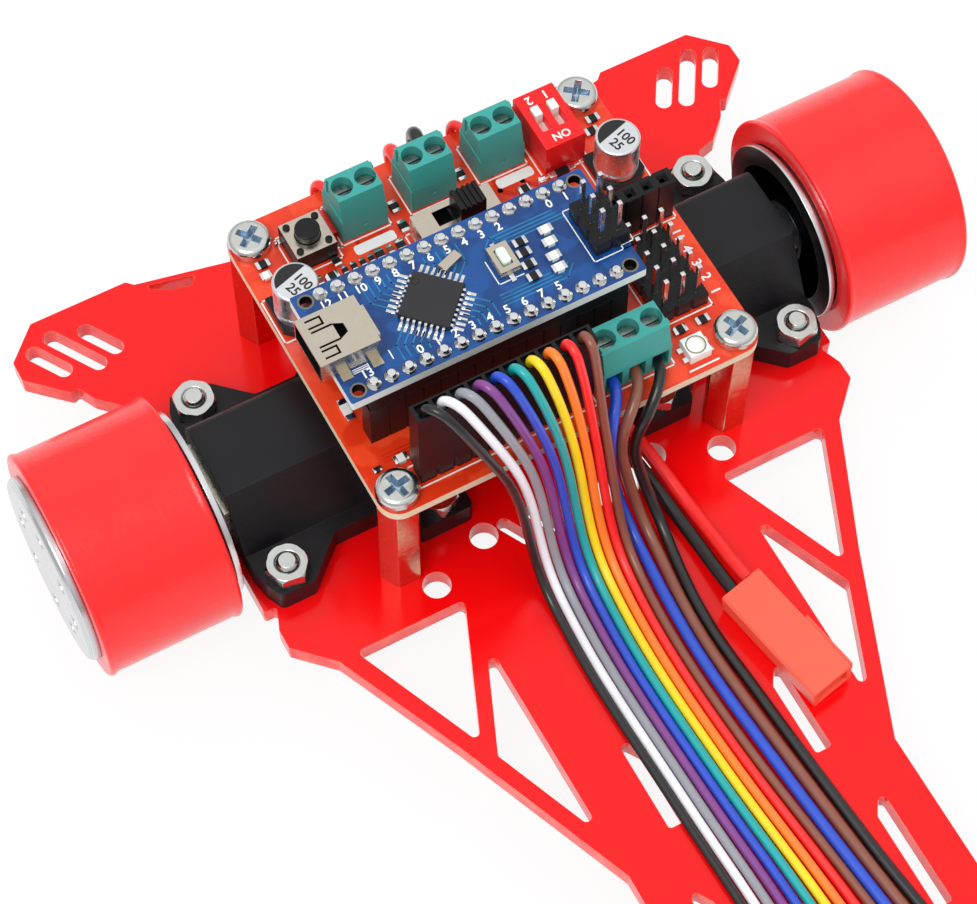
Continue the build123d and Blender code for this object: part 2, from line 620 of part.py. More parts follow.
def motor_bracket():
    """The right motor's printed cover: a tunnel, sloped at the front, on a foot with four bolt lobes."""
    foot = prism(rounded(flange_outline()), (PLATE_TOP, PLATE_TOP + FLANGE_T))
    section = Plane.YZ * polygon(
        [
            (BRACKET_FOOT_Y, PLATE_TOP),
            (BRACKET_FOOT_Y, PLATE_TOP + FLANGE_T),
            (BRACKET_RIDGE_Y, PLATE_TOP + BRACKET_H),
            (BRACKET_REAR_Y, PLATE_TOP + BRACKET_H),
            (BRACKET_REAR_Y, PLATE_TOP),
        ]
    )
    tunnel = Pos(BRACKET_IN_X, 0, 0) * extrude(section, BRACKET_OUT_X - BRACKET_IN_X)
    ridges = tunnel.edges().filter_by(Axis.X).sort_by(Axis.Z)[-2:].sort_by(Axis.Y)
    tunnel = fillet(ridges[:1], BRACKET_RIDGE_R)
    rear_ridge = tunnel.edges().filter_by(Axis.X).group_by(Axis.Z)[-1].sort_by(Axis.Y)[-1:]
    tunnel = fillet(rear_ridge, BRACKET_REAR_R)
    cavity = block(
        (BRACKET_IN_X - 1, BAY_X + 1),
        (-MOTOR_W / 2 - CAVITY_GAP, MOTOR_W / 2 + CAVITY_GAP),
        (PLATE_TOP - 1, AXLE_Z + MOTOR_H / 2 + CAVITY_GAP),
    )
    holes = [
        column((x, y), HOLE_R, (PLATE_TOP - 1, PLATE_TOP + FLANGE_T + 1))
        for x in BOLT_XS
        for y in (BOLT_Y, -BOLT_Y)
    ]
    return cut(foot + tunnel, [cavity, *holes])


# ------------------------------------------------------------------ gear motor and wheel
def along_axle(shape):
    """Lays an upright shape down, its top pointing to the right, on the axle line."""
    return Pos(0, 0, AXLE_Z) * Rot(0, 90, 0) * shape


def axle_rod(radius, x):
    """A round bar on the axle line between two places."""
    return along_axle(Pos(0, 0, sum(x) / 2) * Cylinder(radius, x[1] - x[0]))


def motor_section():
    """The round can with its two flats."""
    return Circle(MOTOR_W / 2) & Rectangle(MOTOR_H, MOTOR_W + 1)


def gearmotor():
    """The right gear motor: an open gearbox between two brass plates, its can, cap and two tabs."""
    box_y = (-MOTOR_W / 2, MOTOR_W / 2)
    box_z = (AXLE_Z - MOTOR_H / 2, AXLE_Z + MOTOR_H / 2)
    face_x = BAY_X
    back_x = face_x - GEARBOX_L
    end_x = back_x - MOTOR_CAN_L
    plates = [
        block((face_x - GEARBOX_PLATE_T, face_x), box_y, box_z),
        block((back_x, back_x + GEARBOX_PLATE_T), box_y, box_z),
        axle_rod(BEARING_R, (face_x - GEARBOX_PLATE_T, face_x + BEARING_L)),
    ]
    pillars = [
        Pos(0, side * GEARBOX_PILLAR[0], side * GEARBOX_PILLAR[1])
        * axle_rod(GEARBOX_PILLAR_R, (back_x + GEARBOX_PLATE_T, face_x - GEARBOX_PLATE_T))
        for side in (1, -1)
    ]
    bore = axle_rod(SHAFT_R + RUN_FIT, (back_x + GEARBOX_PLATE_T, face_x + BEARING_L + 1))
    gearbox = cut(plates[0] + plates[2], [bore])
    can = along_axle(Pos(0, 0, end_x) * extrude(motor_section(), MOTOR_CAN_L))
    cap_face = offset(motor_section(), -MOTOR_CAP_STEP)
    cap = along_axle(Pos(0, 0, end_x - MOTOR_CAP_L) * extrude(cap_face, MOTOR_CAP_L))
    thick, wide, tall = MOTOR_TAB
    tabs = [
        Pos(end_x - MOTOR_CAP_L - tall / 2, y, AXLE_Z) * Box(tall, thick, wide)
        for y in (-MOTOR_TAB_Y, MOTOR_TAB_Y)
    ]
    return solids([gearbox, plates[1], *pillars, can, cap, *tabs])


def output_shaft():
    """The right motor's output shaft, flat on one side where the hub sits."""
    tail_x = BAY_X - SHAFT_TAIL + GEARBOX_PLATE_T
    tip_x = BAY_X + SHAFT_REACH
    shaft = axle_rod(SHAFT_R, (tail_x, tip_x))
    flat_z = AXLE_Z + SHAFT_FLAT
    flat = block((BAY_X + BEARING_L + 0.6, tip_x + 1), (-SHAFT_R, SHAFT_R), (flat_z, flat_z + SHAFT_R))
    return shaft - flat


def turned(profile):
    """A turned piece on the axle line, from its half profile of places and radii."""
    face = Plane.XZ * polygon(profile)
    return Pos(0, 0, AXLE_Z) * revolve(face, Axis.X)


def wheel_hub():
    """The right wheel's turned hub, open towards the motor, with a ring of dimples on its face."""
    cap_in = TYRE_OUT_X
    cap_out = cap_in + HUB_CAP_T
    drum_r = TYRE_BORE_R - FIT
    recess_x = HUB_IN_X + HUB_RECESS_DEPTH
    profile = [
        (HUB_IN_X + 0.8, 0),
        (HUB_IN_X + 0.8, HUB_BOSS_R),
        (recess_x, HUB_BOSS_R),
        (recess_x, HUB_RECESS_R),
        (HUB_IN_X, HUB_RECESS_R),
        (HUB_IN_X, HUB_FLANGE_R),
        (HUB_IN_X + HUB_FLANGE_T, HUB_FLANGE_R),
        (HUB_IN_X + HUB_FLANGE_T, drum_r),
        (cap_in, drum_r),
        (cap_in, HUB_CAP_R),
        (cap_out - HUB_CAP_BEVEL, HUB_CAP_R),
        (cap_out, HUB_CAP_R - HUB_CAP_BEVEL),
        (cap_out, 0),
    ]
    hub = turned(profile)
    bore = axle_rod(SHAFT_R, (HUB_IN_X, BAY_X + SHAFT_REACH + 0.3))
    flat_z = AXLE_Z + SHAFT_FLAT
    key = block((HUB_IN_X - 1, BAY_X + SHAFT_REACH + 1), (-SHAFT_R, SHAFT_R), (flat_z, flat_z + SHAFT_R))
    dimples = [
        axle_rod(DIMPLE_R, (cap_out - DIMPLE_DEPTH, cap_out + 1)).moved(
            Location((0, DIMPLE_RING_R * cos(angle), DIMPLE_RING_R * sin(angle)))
        )
        for angle in (2 * pi * k / DIMPLE_COUNT for k in range(DIMPLE_COUNT))
    ]
    return cut(hub, [bore - key, *dimples])


def tyre():
    """The right tyre, a soft sleeve with a low rim at both edges."""
    rim_r = WHEEL_R + TYRE_RIM
    profile = [
        (TYRE_IN_X, TYRE_BORE_R),
        (TYRE_IN_X, rim_r - TYRE_EDGE),
        (TYRE_IN_X + TYRE_EDGE, rim_r),
        (TYRE_IN_X + TYRE_RIM_W * 0.5, rim_r),
        (TYRE_IN_X + TYRE_RIM_W, WHEEL_R),
        (TYRE_OUT_X - TYRE_RIM_W, WHEEL_R),
        (TYRE_OUT_X - TYRE_RIM_W * 0.5, rim_r),
        (TYRE_OUT_X - TYRE_EDGE, rim_r),
        (TYRE_OUT_X, rim_r - TYRE_EDGE),
        (TYRE_OUT_X, TYRE_BORE_R),
    ]
    return turned(profile)


# ------------------------------------------------------------------ fasteners
def cross_recess():
    """The tapered cross cut of a screw head, sunk below the level zero."""
    face = Rectangle(CROSS_L, CROSS_W) + Rectangle(CROSS_W, CROSS_L)
    face += Rot(0, 0, 45) * Rectangle(CROSS_HEART, CROSS_HEART)
    return Rot(180, 0, 0) * extrude(face, CROSS_DEPTH, taper=CROSS_TAPER)


def pan_screw(centre, seat_z, shank_l, up=True, turn=0.0):
    """A pan-head screw seated at a height, its head above the seat, or below it."""
    head = Pos(0, 0, PAN_HEAD_H / 2) * Cylinder(PAN_HEAD_R, PAN_HEAD_H)
    head = fillet(head.edges().sort_by(Axis.Z)[-1:], PAN_HEAD_H * 0.45)
    head -= Pos(0, 0, PAN_HEAD_H) * cross_recess()
    shank = Pos(0, 0, -shank_l / 2) * Cylinder(M3_R, shank_l)
    shank = chamfer(shank.edges().sort_by(Axis.Z)[:1], THREAD_END)
    screw = Rot(0, 0, turn) * (head + shank)
    if not up:
        screw = Rot(180, 0, 0) * screw
    return Pos(centre[0], centre[1], seat_z) * screw


def hex_nut(centre, seat_z, turn):
    """A hexagon nut standing on a height, bevelled at both ends and countersunk on top."""
    nut = hexagon((0, 0), NUT_AF, (0, NUT_H))
    bevelled = column((0, 0), NUT_AF / sqrt(3) + FIT, (0, NUT_H))
    bevelled = chamfer(bevelled.edges().filter_by(GeomType.CIRCLE), NUT_BEVEL)
    bore = column((0, 0), M3_R + FIT, (-1, NUT_H + 1))
    sink = Pos(0, 0, NUT_H - NUT_SINK / 2) * Cone(M3_R + FIT, NUT_SINK_R, NUT_SINK)
    return Pos(centre[0], centre[1], seat_z) * Rot(0, 0, turn) * cut(nut & bevelled, [bore, sink])


def m3_bolts():
    """Eight bracket bolts with their heads under the plate, and two at the arm's tip."""
    grip = PLATE_T + FLANGE_T + NUT_H + BOLT_END
    bracket = [pan_screw((x, y), PLATE_BOTTOM, grip, up=False) for x in BOLT_XS for y in (BOLT_Y, -BOLT_Y)]
    reach = PLATE_T + WASHER_T + BOARD_T + DOME_CAVITY - 0.3
    tip = pan_screw(TIP_BOLT, PLATE_TOP, reach)
    pieces = []
    for bolt in [*bracket, tip]:
        pieces += both(bolt)
    return solids(pieces)


def m3_nuts():
    """The nuts of the bracket bolts."""
    places = [(x, y) for x in BOLT_XS for y in (BOLT_Y, -BOLT_Y)]
    pieces = []
    for place, turn in zip(places, NUT_TURNS):
        pieces += both(hex_nut(place, PLATE_TOP + FLANGE_T, turn))
    return solids(pieces)


def skid_nuts():
    """Two domed nuts that slide on the floor below the arm's tip, each with the washer of its bolt."""
    top = SENSOR_BOTTOM
    bottom = top - DOME_NUT_H
    body = hexagon(TIP_BOLT, NUT_AF, (top - DOME_HEX_H, top))
    ball_r = NUT_AF / 2 - 0.15
    neck = column(TIP_BOLT, ball_r, (bottom + ball_r, top - DOME_HEX_H / 2))
    ball = Pos(TIP_BOLT[0], TIP_BOLT[1], bottom + ball_r) * Sphere(ball_r)
    cavity = column(TIP_BOLT, M3_R + FIT, (top - DOME_CAVITY, top + 1))
    nut = (body + neck + ball) - cavity
    washer = column(TIP_BOLT, WASHER_R, (SENSOR_TOP, PLATE_BOTTOM))
    washer -= column(TIP_BOLT, HOLE_R, (SENSOR_TOP - 1, PLATE_BOTTOM + 1))
    return solids([*both(nut), *both(washer)])


def spacer_places():
    """Where the board stands on the plate."""
    return [(side * BOARD_HOLE_X, y) for side in (1, -1) for y in BOARD_HOLE_YS]


def board_spacers():
    """Four brass spacers between the plate and the board."""
    pieces = []
    for place in spacer_places():
        spacer = hexagon(place, SPACER_AF, (PLATE_TOP, BOARD_BOTTOM))
        pieces.append(spacer - column(place, M3_R + FIT, (PLATE_TOP - 1, BOARD_BOTTOM + 1)))
    return solids(pieces)


def spacer_screws():
    """The screws at both ends of the spacers."""
    pieces = []
    for place, turn in zip(spacer_places(), SCREW_TURNS):
        pieces.append(pan_screw(place, BOARD_TOP, BOARD_T + SCREW_BITE, turn=turn))
        pieces.append(pan_screw(place, PLATE_BOTTOM, PLATE_T + SCREW_BITE, up=False, turn=turn))
    return solids(pieces)


# ------------------------------------------------------------------ boards
def controller_board():
    """The main board."""
    face = Pos(0, BOARD_CENTRE_Y) * RectangleRounded(BOARD_W, BOARD_D, BOARD_CORNER_R)
    for place in spacer_places():
        face -= Pos(*place) * Circle(HOLE_R)
    return prism(face, (BOARD_BOTTOM, BOARD_TOP))


def nano_pin_places():
    """The two pin rows of the plug-in board."""
    return [
        (x, y)
        for y in row(2, NANO_ROW_GAP, NANO_CENTRE[1])
        for x in row(NANO_PINS, PITCH, NANO_CENTRE[0])
    ]


def nano_board():
    """The blue plug-in board with its four corner holes."""
    face = Pos(*NANO_CENTRE) * RectangleRounded(NANO_L, NANO_W, 0.3)
    inset_x, inset_y = NANO_HOLE_INSET
    for x in row(2, NANO_L - 2 * inset_x, NANO_CENTRE[0]):
        for y in row(2, NANO_W - 2 * inset_y, NANO_CENTRE[1]):
            face -= Pos(x, y) * Circle(NANO_HOLE_R)
    for place in nano_pin_places():
        face -= Pos(*place) * Rectangle(PIN_W + FIT, PIN_W + FIT)
    return prism(face, (NANO_BOTTOM, NANO_TOP))


def strip_face(centre, ways):
    """The plan of a socket strip, with a shallow groove between its ways on both sides."""
    face = Pos(*centre) * Rectangle(ways * PITCH + 0.3, HEADER_W)
    for x in row(ways - 1, PITCH, centre[0]):
        for y in row(2, HEADER_W, centre[1]):
            face -= Pos(x, y) * Rectangle(*SOCKET_GROOVE)
    return face


def nano_sockets():
    """The two socket strips that the plug-in board stands in."""
    pieces = []
    for y in row(2, NANO_ROW_GAP, NANO_CENTRE[1]):
        face = strip_face((NANO_CENTRE[0], y), NANO_PINS)
        for x in row(NANO_PINS, PITCH, NANO_CENTRE[0]):
            face -= Pos(x, y) * Rectangle(PIN_W + FIT, PIN_W + FIT)
        pieces.append(prism(face, (BOARD_TOP, BOARD_TOP + SOCKET_H)))
    return solids(pieces)


def pin(place, z):
    """A square contact pin between two heights."""
    return block_at(place, (PIN_W, PIN_W, z[1] - z[0]), z[0])


def nano_pins():
    """The pin strips soldered under the plug-in board, down into the sockets."""
    strips = []
    for y in row(2, NANO_ROW_GAP, NANO_CENTRE[1]):
        size = (NANO_PINS * PITCH, HEADER_W - 0.1, HEADER_H)
        strip = block_at((NANO_CENTRE[0], y), size, NANO_BOTTOM - HEADER_H)
        for x in row(NANO_PINS, PITCH, NANO_CENTRE[0]):
            strip += pin((x, y), (NANO_BOTTOM - HEADER_H - 6.0, NANO_TOP + 0.6))
        strips.append(strip)
    return solids(strips)


def usb_roof_cuts():
    """The latch openings of the socket's roof: two long ones round a spring each, and one in the middle."""
    slot = 0.28
    cuts = []
    for side in (1, -1):
        y = side * 2.45
        cuts.append(Pos(-2.05, y + 0.57) * Rectangle(2.2, slot))
        cuts.append(Pos(-2.05, y - 0.57) * Rectangle(2.2, slot))
        cuts.append(Pos(-1.09, y) * Rectangle(slot, 1.42))
        cuts.append(Pos(-1.6, side * 1.22) * Rectangle(3.0, slot))
    cuts.append(polygon([(-0.1, 1.3), (-0.1, -1.3), (1.2, -0.7), (1.2, 0.7)]))
    return cuts


def usb_socket():
    """The plug-in board's small USB socket: a folded shell, open at its mouth, on four solder tabs."""
    length, width, height = USB_BODY
    shell = block_at((0, 0), USB_BODY, 0)
    mouth = block(
        (-length / 2 - 1, length / 2 - USB_WALL),
        (-width / 2 + USB_WALL, width / 2 - USB_WALL),
        (USB_WALL, height - USB_WALL),
    )
    roof = [prism(face, (height - USB_WALL - 0.1, height + 1)) for face in usb_roof_cuts()]
    tongue = block((-length / 2 + 1.4, length / 2), (-width / 2 + 1.7, width / 2 - 1.7), (1.5, 2.2))
    socket = cut(shell, [mouth, *roof]) + tongue
    socket += block_at((length / 2 + USB_FLAP[0] / 2, 0), USB_FLAP, 0)
    for x in (-1.1, 3.3):
        for side in (1, -1):
            socket += block_at((x, side * (width + USB_TAB[1]) / 2), USB_TAB, 0)
    return Pos(USB_CENTRE[0], USB_CENTRE[1], NANO_TOP) * socket


def chip_lead():
    """One bent lead of the chip, standing on the board at the chip's right side."""
    root = CHIP_W / 2 - 0.1
    knee = CHIP_W / 2 + 0.35
    toe = CHIP_W / 2 + 1.0
    thick = CHIP_LEAD_T
    top = CHIP_LEAD_SHOULDER
    outline = [
        (root, top),
        (knee, top),
        (knee + 0.2, thick),
        (toe, thick),
        (toe, 0),
        (knee + 0.05, 0),
        (knee - 0.15, top - thick),
        (root, top - thick),
    ]
    face = Plane.XZ * polygon(outline)
    return Pos(0, CHIP_LEAD_W / 2, 0) * extrude(face, CHIP_LEAD_W)


def microcontroller():
    """The chip, set diagonally, with eight leads a side."""
    body = block_at((0, 0), (CHIP_W, CHIP_W, CHIP_H), 0.1)
    chip = chamfer(body.edges().group_by(Axis.Z)[-1], 0.12)
    for quarter in range(4):
        for y in row(CHIP_LEADS, CHIP_LEAD_PITCH):
            chip += Rot(0, 0, 90 * quarter) * Pos(0, y, 0) * chip_lead()
    return Pos(CHIP_CENTRE[0], CHIP_CENTRE[1], NANO_TOP) * Rot(0, 0, 45) * chip


def parts_beside(anchor, places, base_z):
    """Small parts, each given by its distance from an anchor and its size."""
    return [block_at((anchor[0] + dx, anchor[1] + dy), size, base_z) for dx, dy, size in places]


def parts_between(x, y, places):
    """Small parts in a row between two limits, each given by its share of the way and its size."""
    return [block_at((x[0] + share * (x[1] - x[0]), y), size, BOARD_TOP) for share, size in places]


def small_parts():
    """Surface-mounted parts large enough to stand up from the two boards."""
    rear_y, front_y = BOARD_HOLE_YS
    power = (POWER_TERMINAL_X, REAR_TERMINAL_Y)
    across = (2.0, 1.25, 0.55)
    along = (1.25, 2.0, 0.55)
    tiny = (0.8, 1.5, 0.45)
    groups = [
        ((-BOARD_HOLE_X, rear_y), [(0.05, -4.0, across), (-0.4, -5.9, (1.6, 1.2, 0.7))]),
        ((BOARD_HOLE_X, rear_y), [(0.3, -4.1, across), (-0.85, -5.9, across)]),
        ((-BOARD_HOLE_X, front_y), [(2.6, 4.0, (2.0, 1.25, 0.8)), (-0.8, 4.1, (1.2, 0.8, 0.45))]),
        ((BOARD_HOLE_X, front_y), [(-6.3, 3.8, across), (-2.85, 3.8, across)]),
        (TACT_CENTRE, [(2.3, -3.9, (1.1, 1.5, 0.55))]),
        (power, [(-5.3, -1.3, along), (-5.65, -4.7, along), (5.2, -0.9, along)]),
        (NANO_CENTRE, [(-19.9, -2.9, (1.2, 3.4, 0.6))]),
    ]
    left_row = [
        (0.087, (1.0, 1.6, 0.6)),
        (0.21, across),
        (0.34, tiny),
        (0.427, tiny),
        (0.515, tiny),
        (0.599, tiny),
        (0.683, along),
        (0.786, (0.9, 1.6, 0.6)),
        (0.89, along),
    ]
    right_row = [(0.368, across), (0.548, (1.0, 1.0, 0.9)), (0.756, (4.0, 1.0, 0.9))]
    cap_side = CAP_X - CAP_BASE_W / 2
    resistor = (2.0, 1.25, 0.5)
    lamp = (2.0, 1.25, 0.8)
    resistors = [(8.85, 2.3), (8.55, 0.6), (8.25, -1.3), (7.95, -3.2)]
    lamps = [(12.65, 2.3), (12.25, 0.4), (11.65, -1.8), (11.45, -3.7)]
    pieces = []
    for anchor, places in groups:
        pieces += parts_beside(anchor, places, BOARD_TOP)
    pieces += parts_between((-cap_side, SLIDE_X[0]), BOARD_REAR_Y - 13.35, left_row)
    pieces += parts_between((SLIDE_X[1], cap_side), BOARD_REAR_Y - 13.25, right_row)
    pieces += parts_beside(NANO_CENTRE, [(x, y, resistor) for x, y in resistors], NANO_TOP)
    pieces += parts_beside(NANO_CENTRE, [(x, y, lamp) for x, y in lamps], NANO_TOP)
    crystal = Rot(0, 0, 20) * block_at((0, 0), (3.2, 1.4, 0.8), 0)
    pieces.append(Pos(NANO_CENTRE[0] - 0.65, NANO_CENTRE[1] + 3.9, NANO_TOP) * crystal)
    return solids(pieces)


# ------------------------------------------------------------------ headers and plugs
def header_block(centre, columns, rows, base_z):
    """A pin header: a plastic base, notched between its ways, with its pins."""
    width = columns * PITCH - 0.1
    depth = rows * PITCH - 0.1
    face = Pos(*centre) * Rectangle(width, depth)
    notch = Rot(0, 0, 45) * Rectangle(HEADER_NOTCH, HEADER_NOTCH)
    for x in row(columns - 1, PITCH, centre[0]):
        for y in row(2, depth, centre[1]):
            face -= Pos(x, y) * notch
    for y in row(rows - 1, PITCH, centre[1]):
        for x in row(2, width, centre[0]):
            face -= Pos(x, y) * notch
    header = prism(face, (base_z, base_z + HEADER_H))
    for place in grid(centre, columns, rows):
        header += pin(place, (base_z, base_z + SOCKET_H))
    return header


def pin_headers():
    """The pin headers of the controller, of the plug-in board and of the sensor board."""
    return solids(
        [
            header_block(PIN_HEADER, 3, 5, BOARD_TOP),
            header_block(ICSP_HEADER, 2, 3, NANO_TOP),
            header_block(REAR_PLUG, PLUG_WIRES, 1, BOARD_TOP),
            header_block(FRONT_PLUG, PLUG_WIRES, 1, SENSOR_TOP),
        ]
    )


def socket_header():
    """The four-way socket strip beside the pin header, each way with a tapered square mouth."""
    top = BOARD_TOP + SOCKET_H
    strip = prism(strip_face(SOCKET_HEADER, 4), (BOARD_TOP, top))
    mouth = Rot(180, 0, 0) * extrude(Rectangle(SOCKET_MOUTH, SOCKET_MOUTH), SOCKET_MOUTH_DEPTH, taper=30)
    tools = []
    for x in row(4, PITCH, SOCKET_HEADER[0]):
        tools.append(Pos(x, SOCKET_HEADER[1], top) * mouth)
        tools.append(block_at((x, SOCKET_HEADER[1]), (PIN_W, PIN_W, SOCKET_H - 1), BOARD_TOP + 1.5))
    return cut(strip, tools)


def wire_plug(centre, base_z):
    """A ten-way plug housing pressed on its header, each way open at the top for its wire."""
    z0 = base_z + HEADER_H
    z1 = z0 + PLUG_L
    length = PLUG_WIRES * PITCH + 2 * PLUG_END
    housing = block_at(centre, (length, PLUG_W, PLUG_L), z0)
    rear_y = centre[1] + PLUG_W / 2
    front_y = centre[1] - PLUG_W / 2
    cavity = (PLUG_CAVITY, PLUG_CAVITY, PLUG_CAVITY_DEPTH + 1)
    bore = (PIN_W + 2 * FIT, PIN_W + 2 * FIT, SOCKET_H - HEADER_H + 2)
    cuts = []
    for x in row(PLUG_WIRES, PITCH, centre[0]):
        place = (x, centre[1])
        cuts.append(block_at(place, cavity, z1 - PLUG_CAVITY_DEPTH))
        cuts.append(block_at(place, bore, z0 - 1))
        cuts.append(block_at((x, rear_y), PLUG_LATCH, z0 + PLUG_LATCH_Z))
    for x in row(PLUG_WIRES - 1, PITCH, centre[0]):
        cuts.append(block_at((x, front_y), PLUG_NOTCH, z0 - PLUG_NOTCH[2] / 2))
    return cut(housing, cuts)


# ------------------------------------------------------------------ screw terminals
def terminal_part(profile, half):
    """A stretch of a terminal block with the given section, its wire side to the rear."""
    face = Plane.YZ * polygon(profile)
    return Pos(-half, 0, 0) * extrude(face, 2 * half)


def terminal_block(centre, ways, wire_side):
    """A screw terminal block, its wire openings facing the rear (1) or the front (-1)."""
    half = ways * TERMINAL_PITCH / 2 - TERMINAL_END
    lower = [
        (-TERMINAL_BACK, 0),
        (-TERMINAL_BACK, TERMINAL_SHOULDER_H),
        (TERMINAL_FRONT, TERMINAL_SHOULDER_H),
        (TERMINAL_FRONT, 0),
    ]
    upper = [
        (-TERMINAL_BACK, TERMINAL_SHOULDER_H),
        (-TERMINAL_TOP_HALF, TERMINAL_H),
        (TERMINAL_TOP_HALF, TERMINAL_H),
        (TERMINAL_FRONT, TERMINAL_SHOULDER_H),
    ]
    body = terminal_part(lower, half) + terminal_part(upper, half - TERMINAL_INSET)
    key_z = TERMINAL_H - TERMINAL_KEY[2]
    body += block_at((half - TERMINAL_INSET, TERMINAL_KEY_Y), TERMINAL_KEY, key_z)
    slot_size = (TERMINAL_KEY[0], TERMINAL_KEY[1], TERMINAL_H)
    tools = [block_at((TERMINAL_INSET - half, TERMINAL_KEY_Y), slot_size, key_z)]
    mark = Rot(90, 0, 0) * Cylinder(TERMINAL_MARK_R, 2 * TERMINAL_MARK_DEPTH)
    tools.append(Pos(0, -TERMINAL_BACK, TERMINAL_SHOULDER_H * 0.55) * mark)
    for x in row(ways, TERMINAL_PITCH):
        hole_z = (TERMINAL_H - TERMINAL_HOLE_DEPTH, TERMINAL_H + 1)
        tools.append(column((x, 0), TERMINAL_HOLE_R, hole_z))
        cell_y = (TERMINAL_FRONT - CELL_DEPTH, TERMINAL_FRONT + 1)
        tools.append(block((x - CELL_W / 2, x + CELL_W / 2), cell_y, (CELL_FLOOR, CELL_FLOOR + CELL_H)))
    body = cut(body, tools)
    if wire_side < 0:
        body = mirror(body, about=Plane.XZ)
    return Pos(centre[0], centre[1], BOARD_TOP) * body


def rear_terminal_places():
    """Motor and power terminals along the board's rear edge."""
    return [(x, REAR_TERMINAL_Y) for x in (*MOTOR_TERMINAL_XS, POWER_TERMINAL_X)]


def two_way_terminals():
    """The three identical rear blocks."""
    return solids([terminal_block(place, 2, 1) for place in rear_terminal_places()])


def sensor_terminal():
    """The three-way block at the board's front edge."""
    return terminal_block((SENSOR_TERMINAL_X, SENSOR_TERMINAL_Y), 3, -1)


def terminal_screws():
    """A slotted screw down every terminal hole."""
    places = [(x + dx, y) for x, y in rear_terminal_places() for dx in row(2, TERMINAL_PITCH)]
    places += [(x, SENSOR_TERMINAL_Y) for x in row(3, TERMINAL_PITCH, SENSOR_TERMINAL_X)]
    floor_z = BOARD_TOP + TERMINAL_H - TERMINAL_HOLE_DEPTH
    pieces = []
    for place in places:
        head = column(place, TERMINAL_HOLE_R - FIT, (floor_z, floor_z + 1.4))
        slot = block_at(place, (2 * TERMINAL_HOLE_R, 0.5, 0.6), floor_z + 0.9)
        pieces.append(head - slot)
    return solids(pieces)


# ------------------------------------------------------------------ switches
def tact_switch():
    """The push switch's body with four rivet heads round the button's well."""
    stud, stud_r, stud_h = TACT_STUD
    top = BOARD_TOP + TACT_H
    body = block_at(TACT_CENTRE, (TACT_W, TACT_W, TACT_H), BOARD_TOP)
    for x in row(2, 2 * stud, TACT_CENTRE[0]):
        for y in row(2, 2 * stud, TACT_CENTRE[1]):
            body += column((x, y), stud_r, (top - stud_r, top + stud_h))
    return body - column(TACT_CENTRE, TACT_BUTTON_R + BUTTON_GAP, (top - TACT_WELL, top + 1))


def tact_button():
    """The push switch's button, clear of the well's floor by its travel."""
    low = BOARD_TOP + TACT_H - TACT_WELL + TACT_TRAVEL + BUTTON_GAP
    button = column(TACT_CENTRE, TACT_BUTTON_R, (low, BOARD_TOP + TACT_BUTTON_TOP))
    return fillet(button.edges().sort_by(Axis.Z)[-1:], 0.2)


def reset_switch():
    """The plug-in board's small push switch with its two feet."""
    x, y = RESET_CENTRE
    body = block_at(RESET_CENTRE, (RESET_W, RESET_L, RESET_H), NANO_TOP)
    for dy in (-RESET_L / 2 - 0.5, RESET_L / 2 + 0.5):
        body += block_at((x, y + dy), (0.7, 1.1, 0.3), NANO_TOP)
    well = (RESET_BUTTON[0] + 2 * BUTTON_GAP, RESET_BUTTON[1] + 2 * BUTTON_GAP, RESET_H)
    return body - block_at(RESET_CENTRE, well, NANO_TOP + RESET_H - RESET_WELL)


def reset_button():
    """The small switch's rubber button."""
    low = NANO_TOP + RESET_H - RESET_WELL + RESET_TRAVEL + BUTTON_GAP
    face = Pos(*RESET_CENTRE) * RectangleRounded(*RESET_BUTTON, 0.4)
    return prism(face, (low, NANO_TOP + RESET_TOP))


def slide_switch():
    """The power switch's folded shell, open above its slider."""
    shell = block(SLIDE_X, SLIDE_Y, (BOARD_TOP, BOARD_TOP + SLIDE_H))
    roof = BOARD_TOP + SLIDE_H
    chamber = block(
        (SLIDE_WINDOW_X[0] - 0.8, SLIDE_WINDOW_X[1] + 0.8),
        (SLIDE_Y[0] + SLIDE_WALL, SLIDE_Y[1] - SLIDE_WALL),
        (roof - SLIDE_CHAMBER_DEPTH, roof - SLIDE_WALL),
    )
    window = block(SLIDE_WINDOW_X, SLIDE_WINDOW_Y, (roof - 1, roof + 1))
    return cut(shell, [chamber, window])


def slide_lever():
    """The power switch's ribbed knob and the slider below the window that carries it."""
    roof = BOARD_TOP + SLIDE_H
    top = roof + BUTTON_GAP + KNOB_H
    knob = block(KNOB_X, KNOB_Y, (roof + BUTTON_GAP, top))
    gap = (KNOB_X[1] - KNOB_X[0]) / KNOB_RIBS
    grooves = [
        block_at((KNOB_X[0] + gap * k, sum(KNOB_Y) / 2), KNOB_GROOVE, top - KNOB_GROOVE_DEPTH)
        for k in range(1, KNOB_RIBS)
    ]
    stem = block(
        (KNOB_X[0] + 0.2, KNOB_X[1] - 0.2),
        (SLIDE_WINDOW_Y[0] + BUTTON_GAP, KNOB_Y[1]),
        (roof - 2.0, roof + BUTTON_GAP + 0.5),
    )
    slider = block(
        (KNOB_X[0] - 0.2, KNOB_X[1] + 0.2),
        (SLIDE_Y[0] + SLIDE_WALL + BUTTON_GAP, SLIDE_Y[1] - SLIDE_WALL - BUTTON_GAP),
        (roof - SLIDE_CHAMBER_DEPTH + BUTTON_GAP, roof - SLIDE_WALL - BUTTON_GAP),
    )
    return cut(knob, grooves) + stem + slider


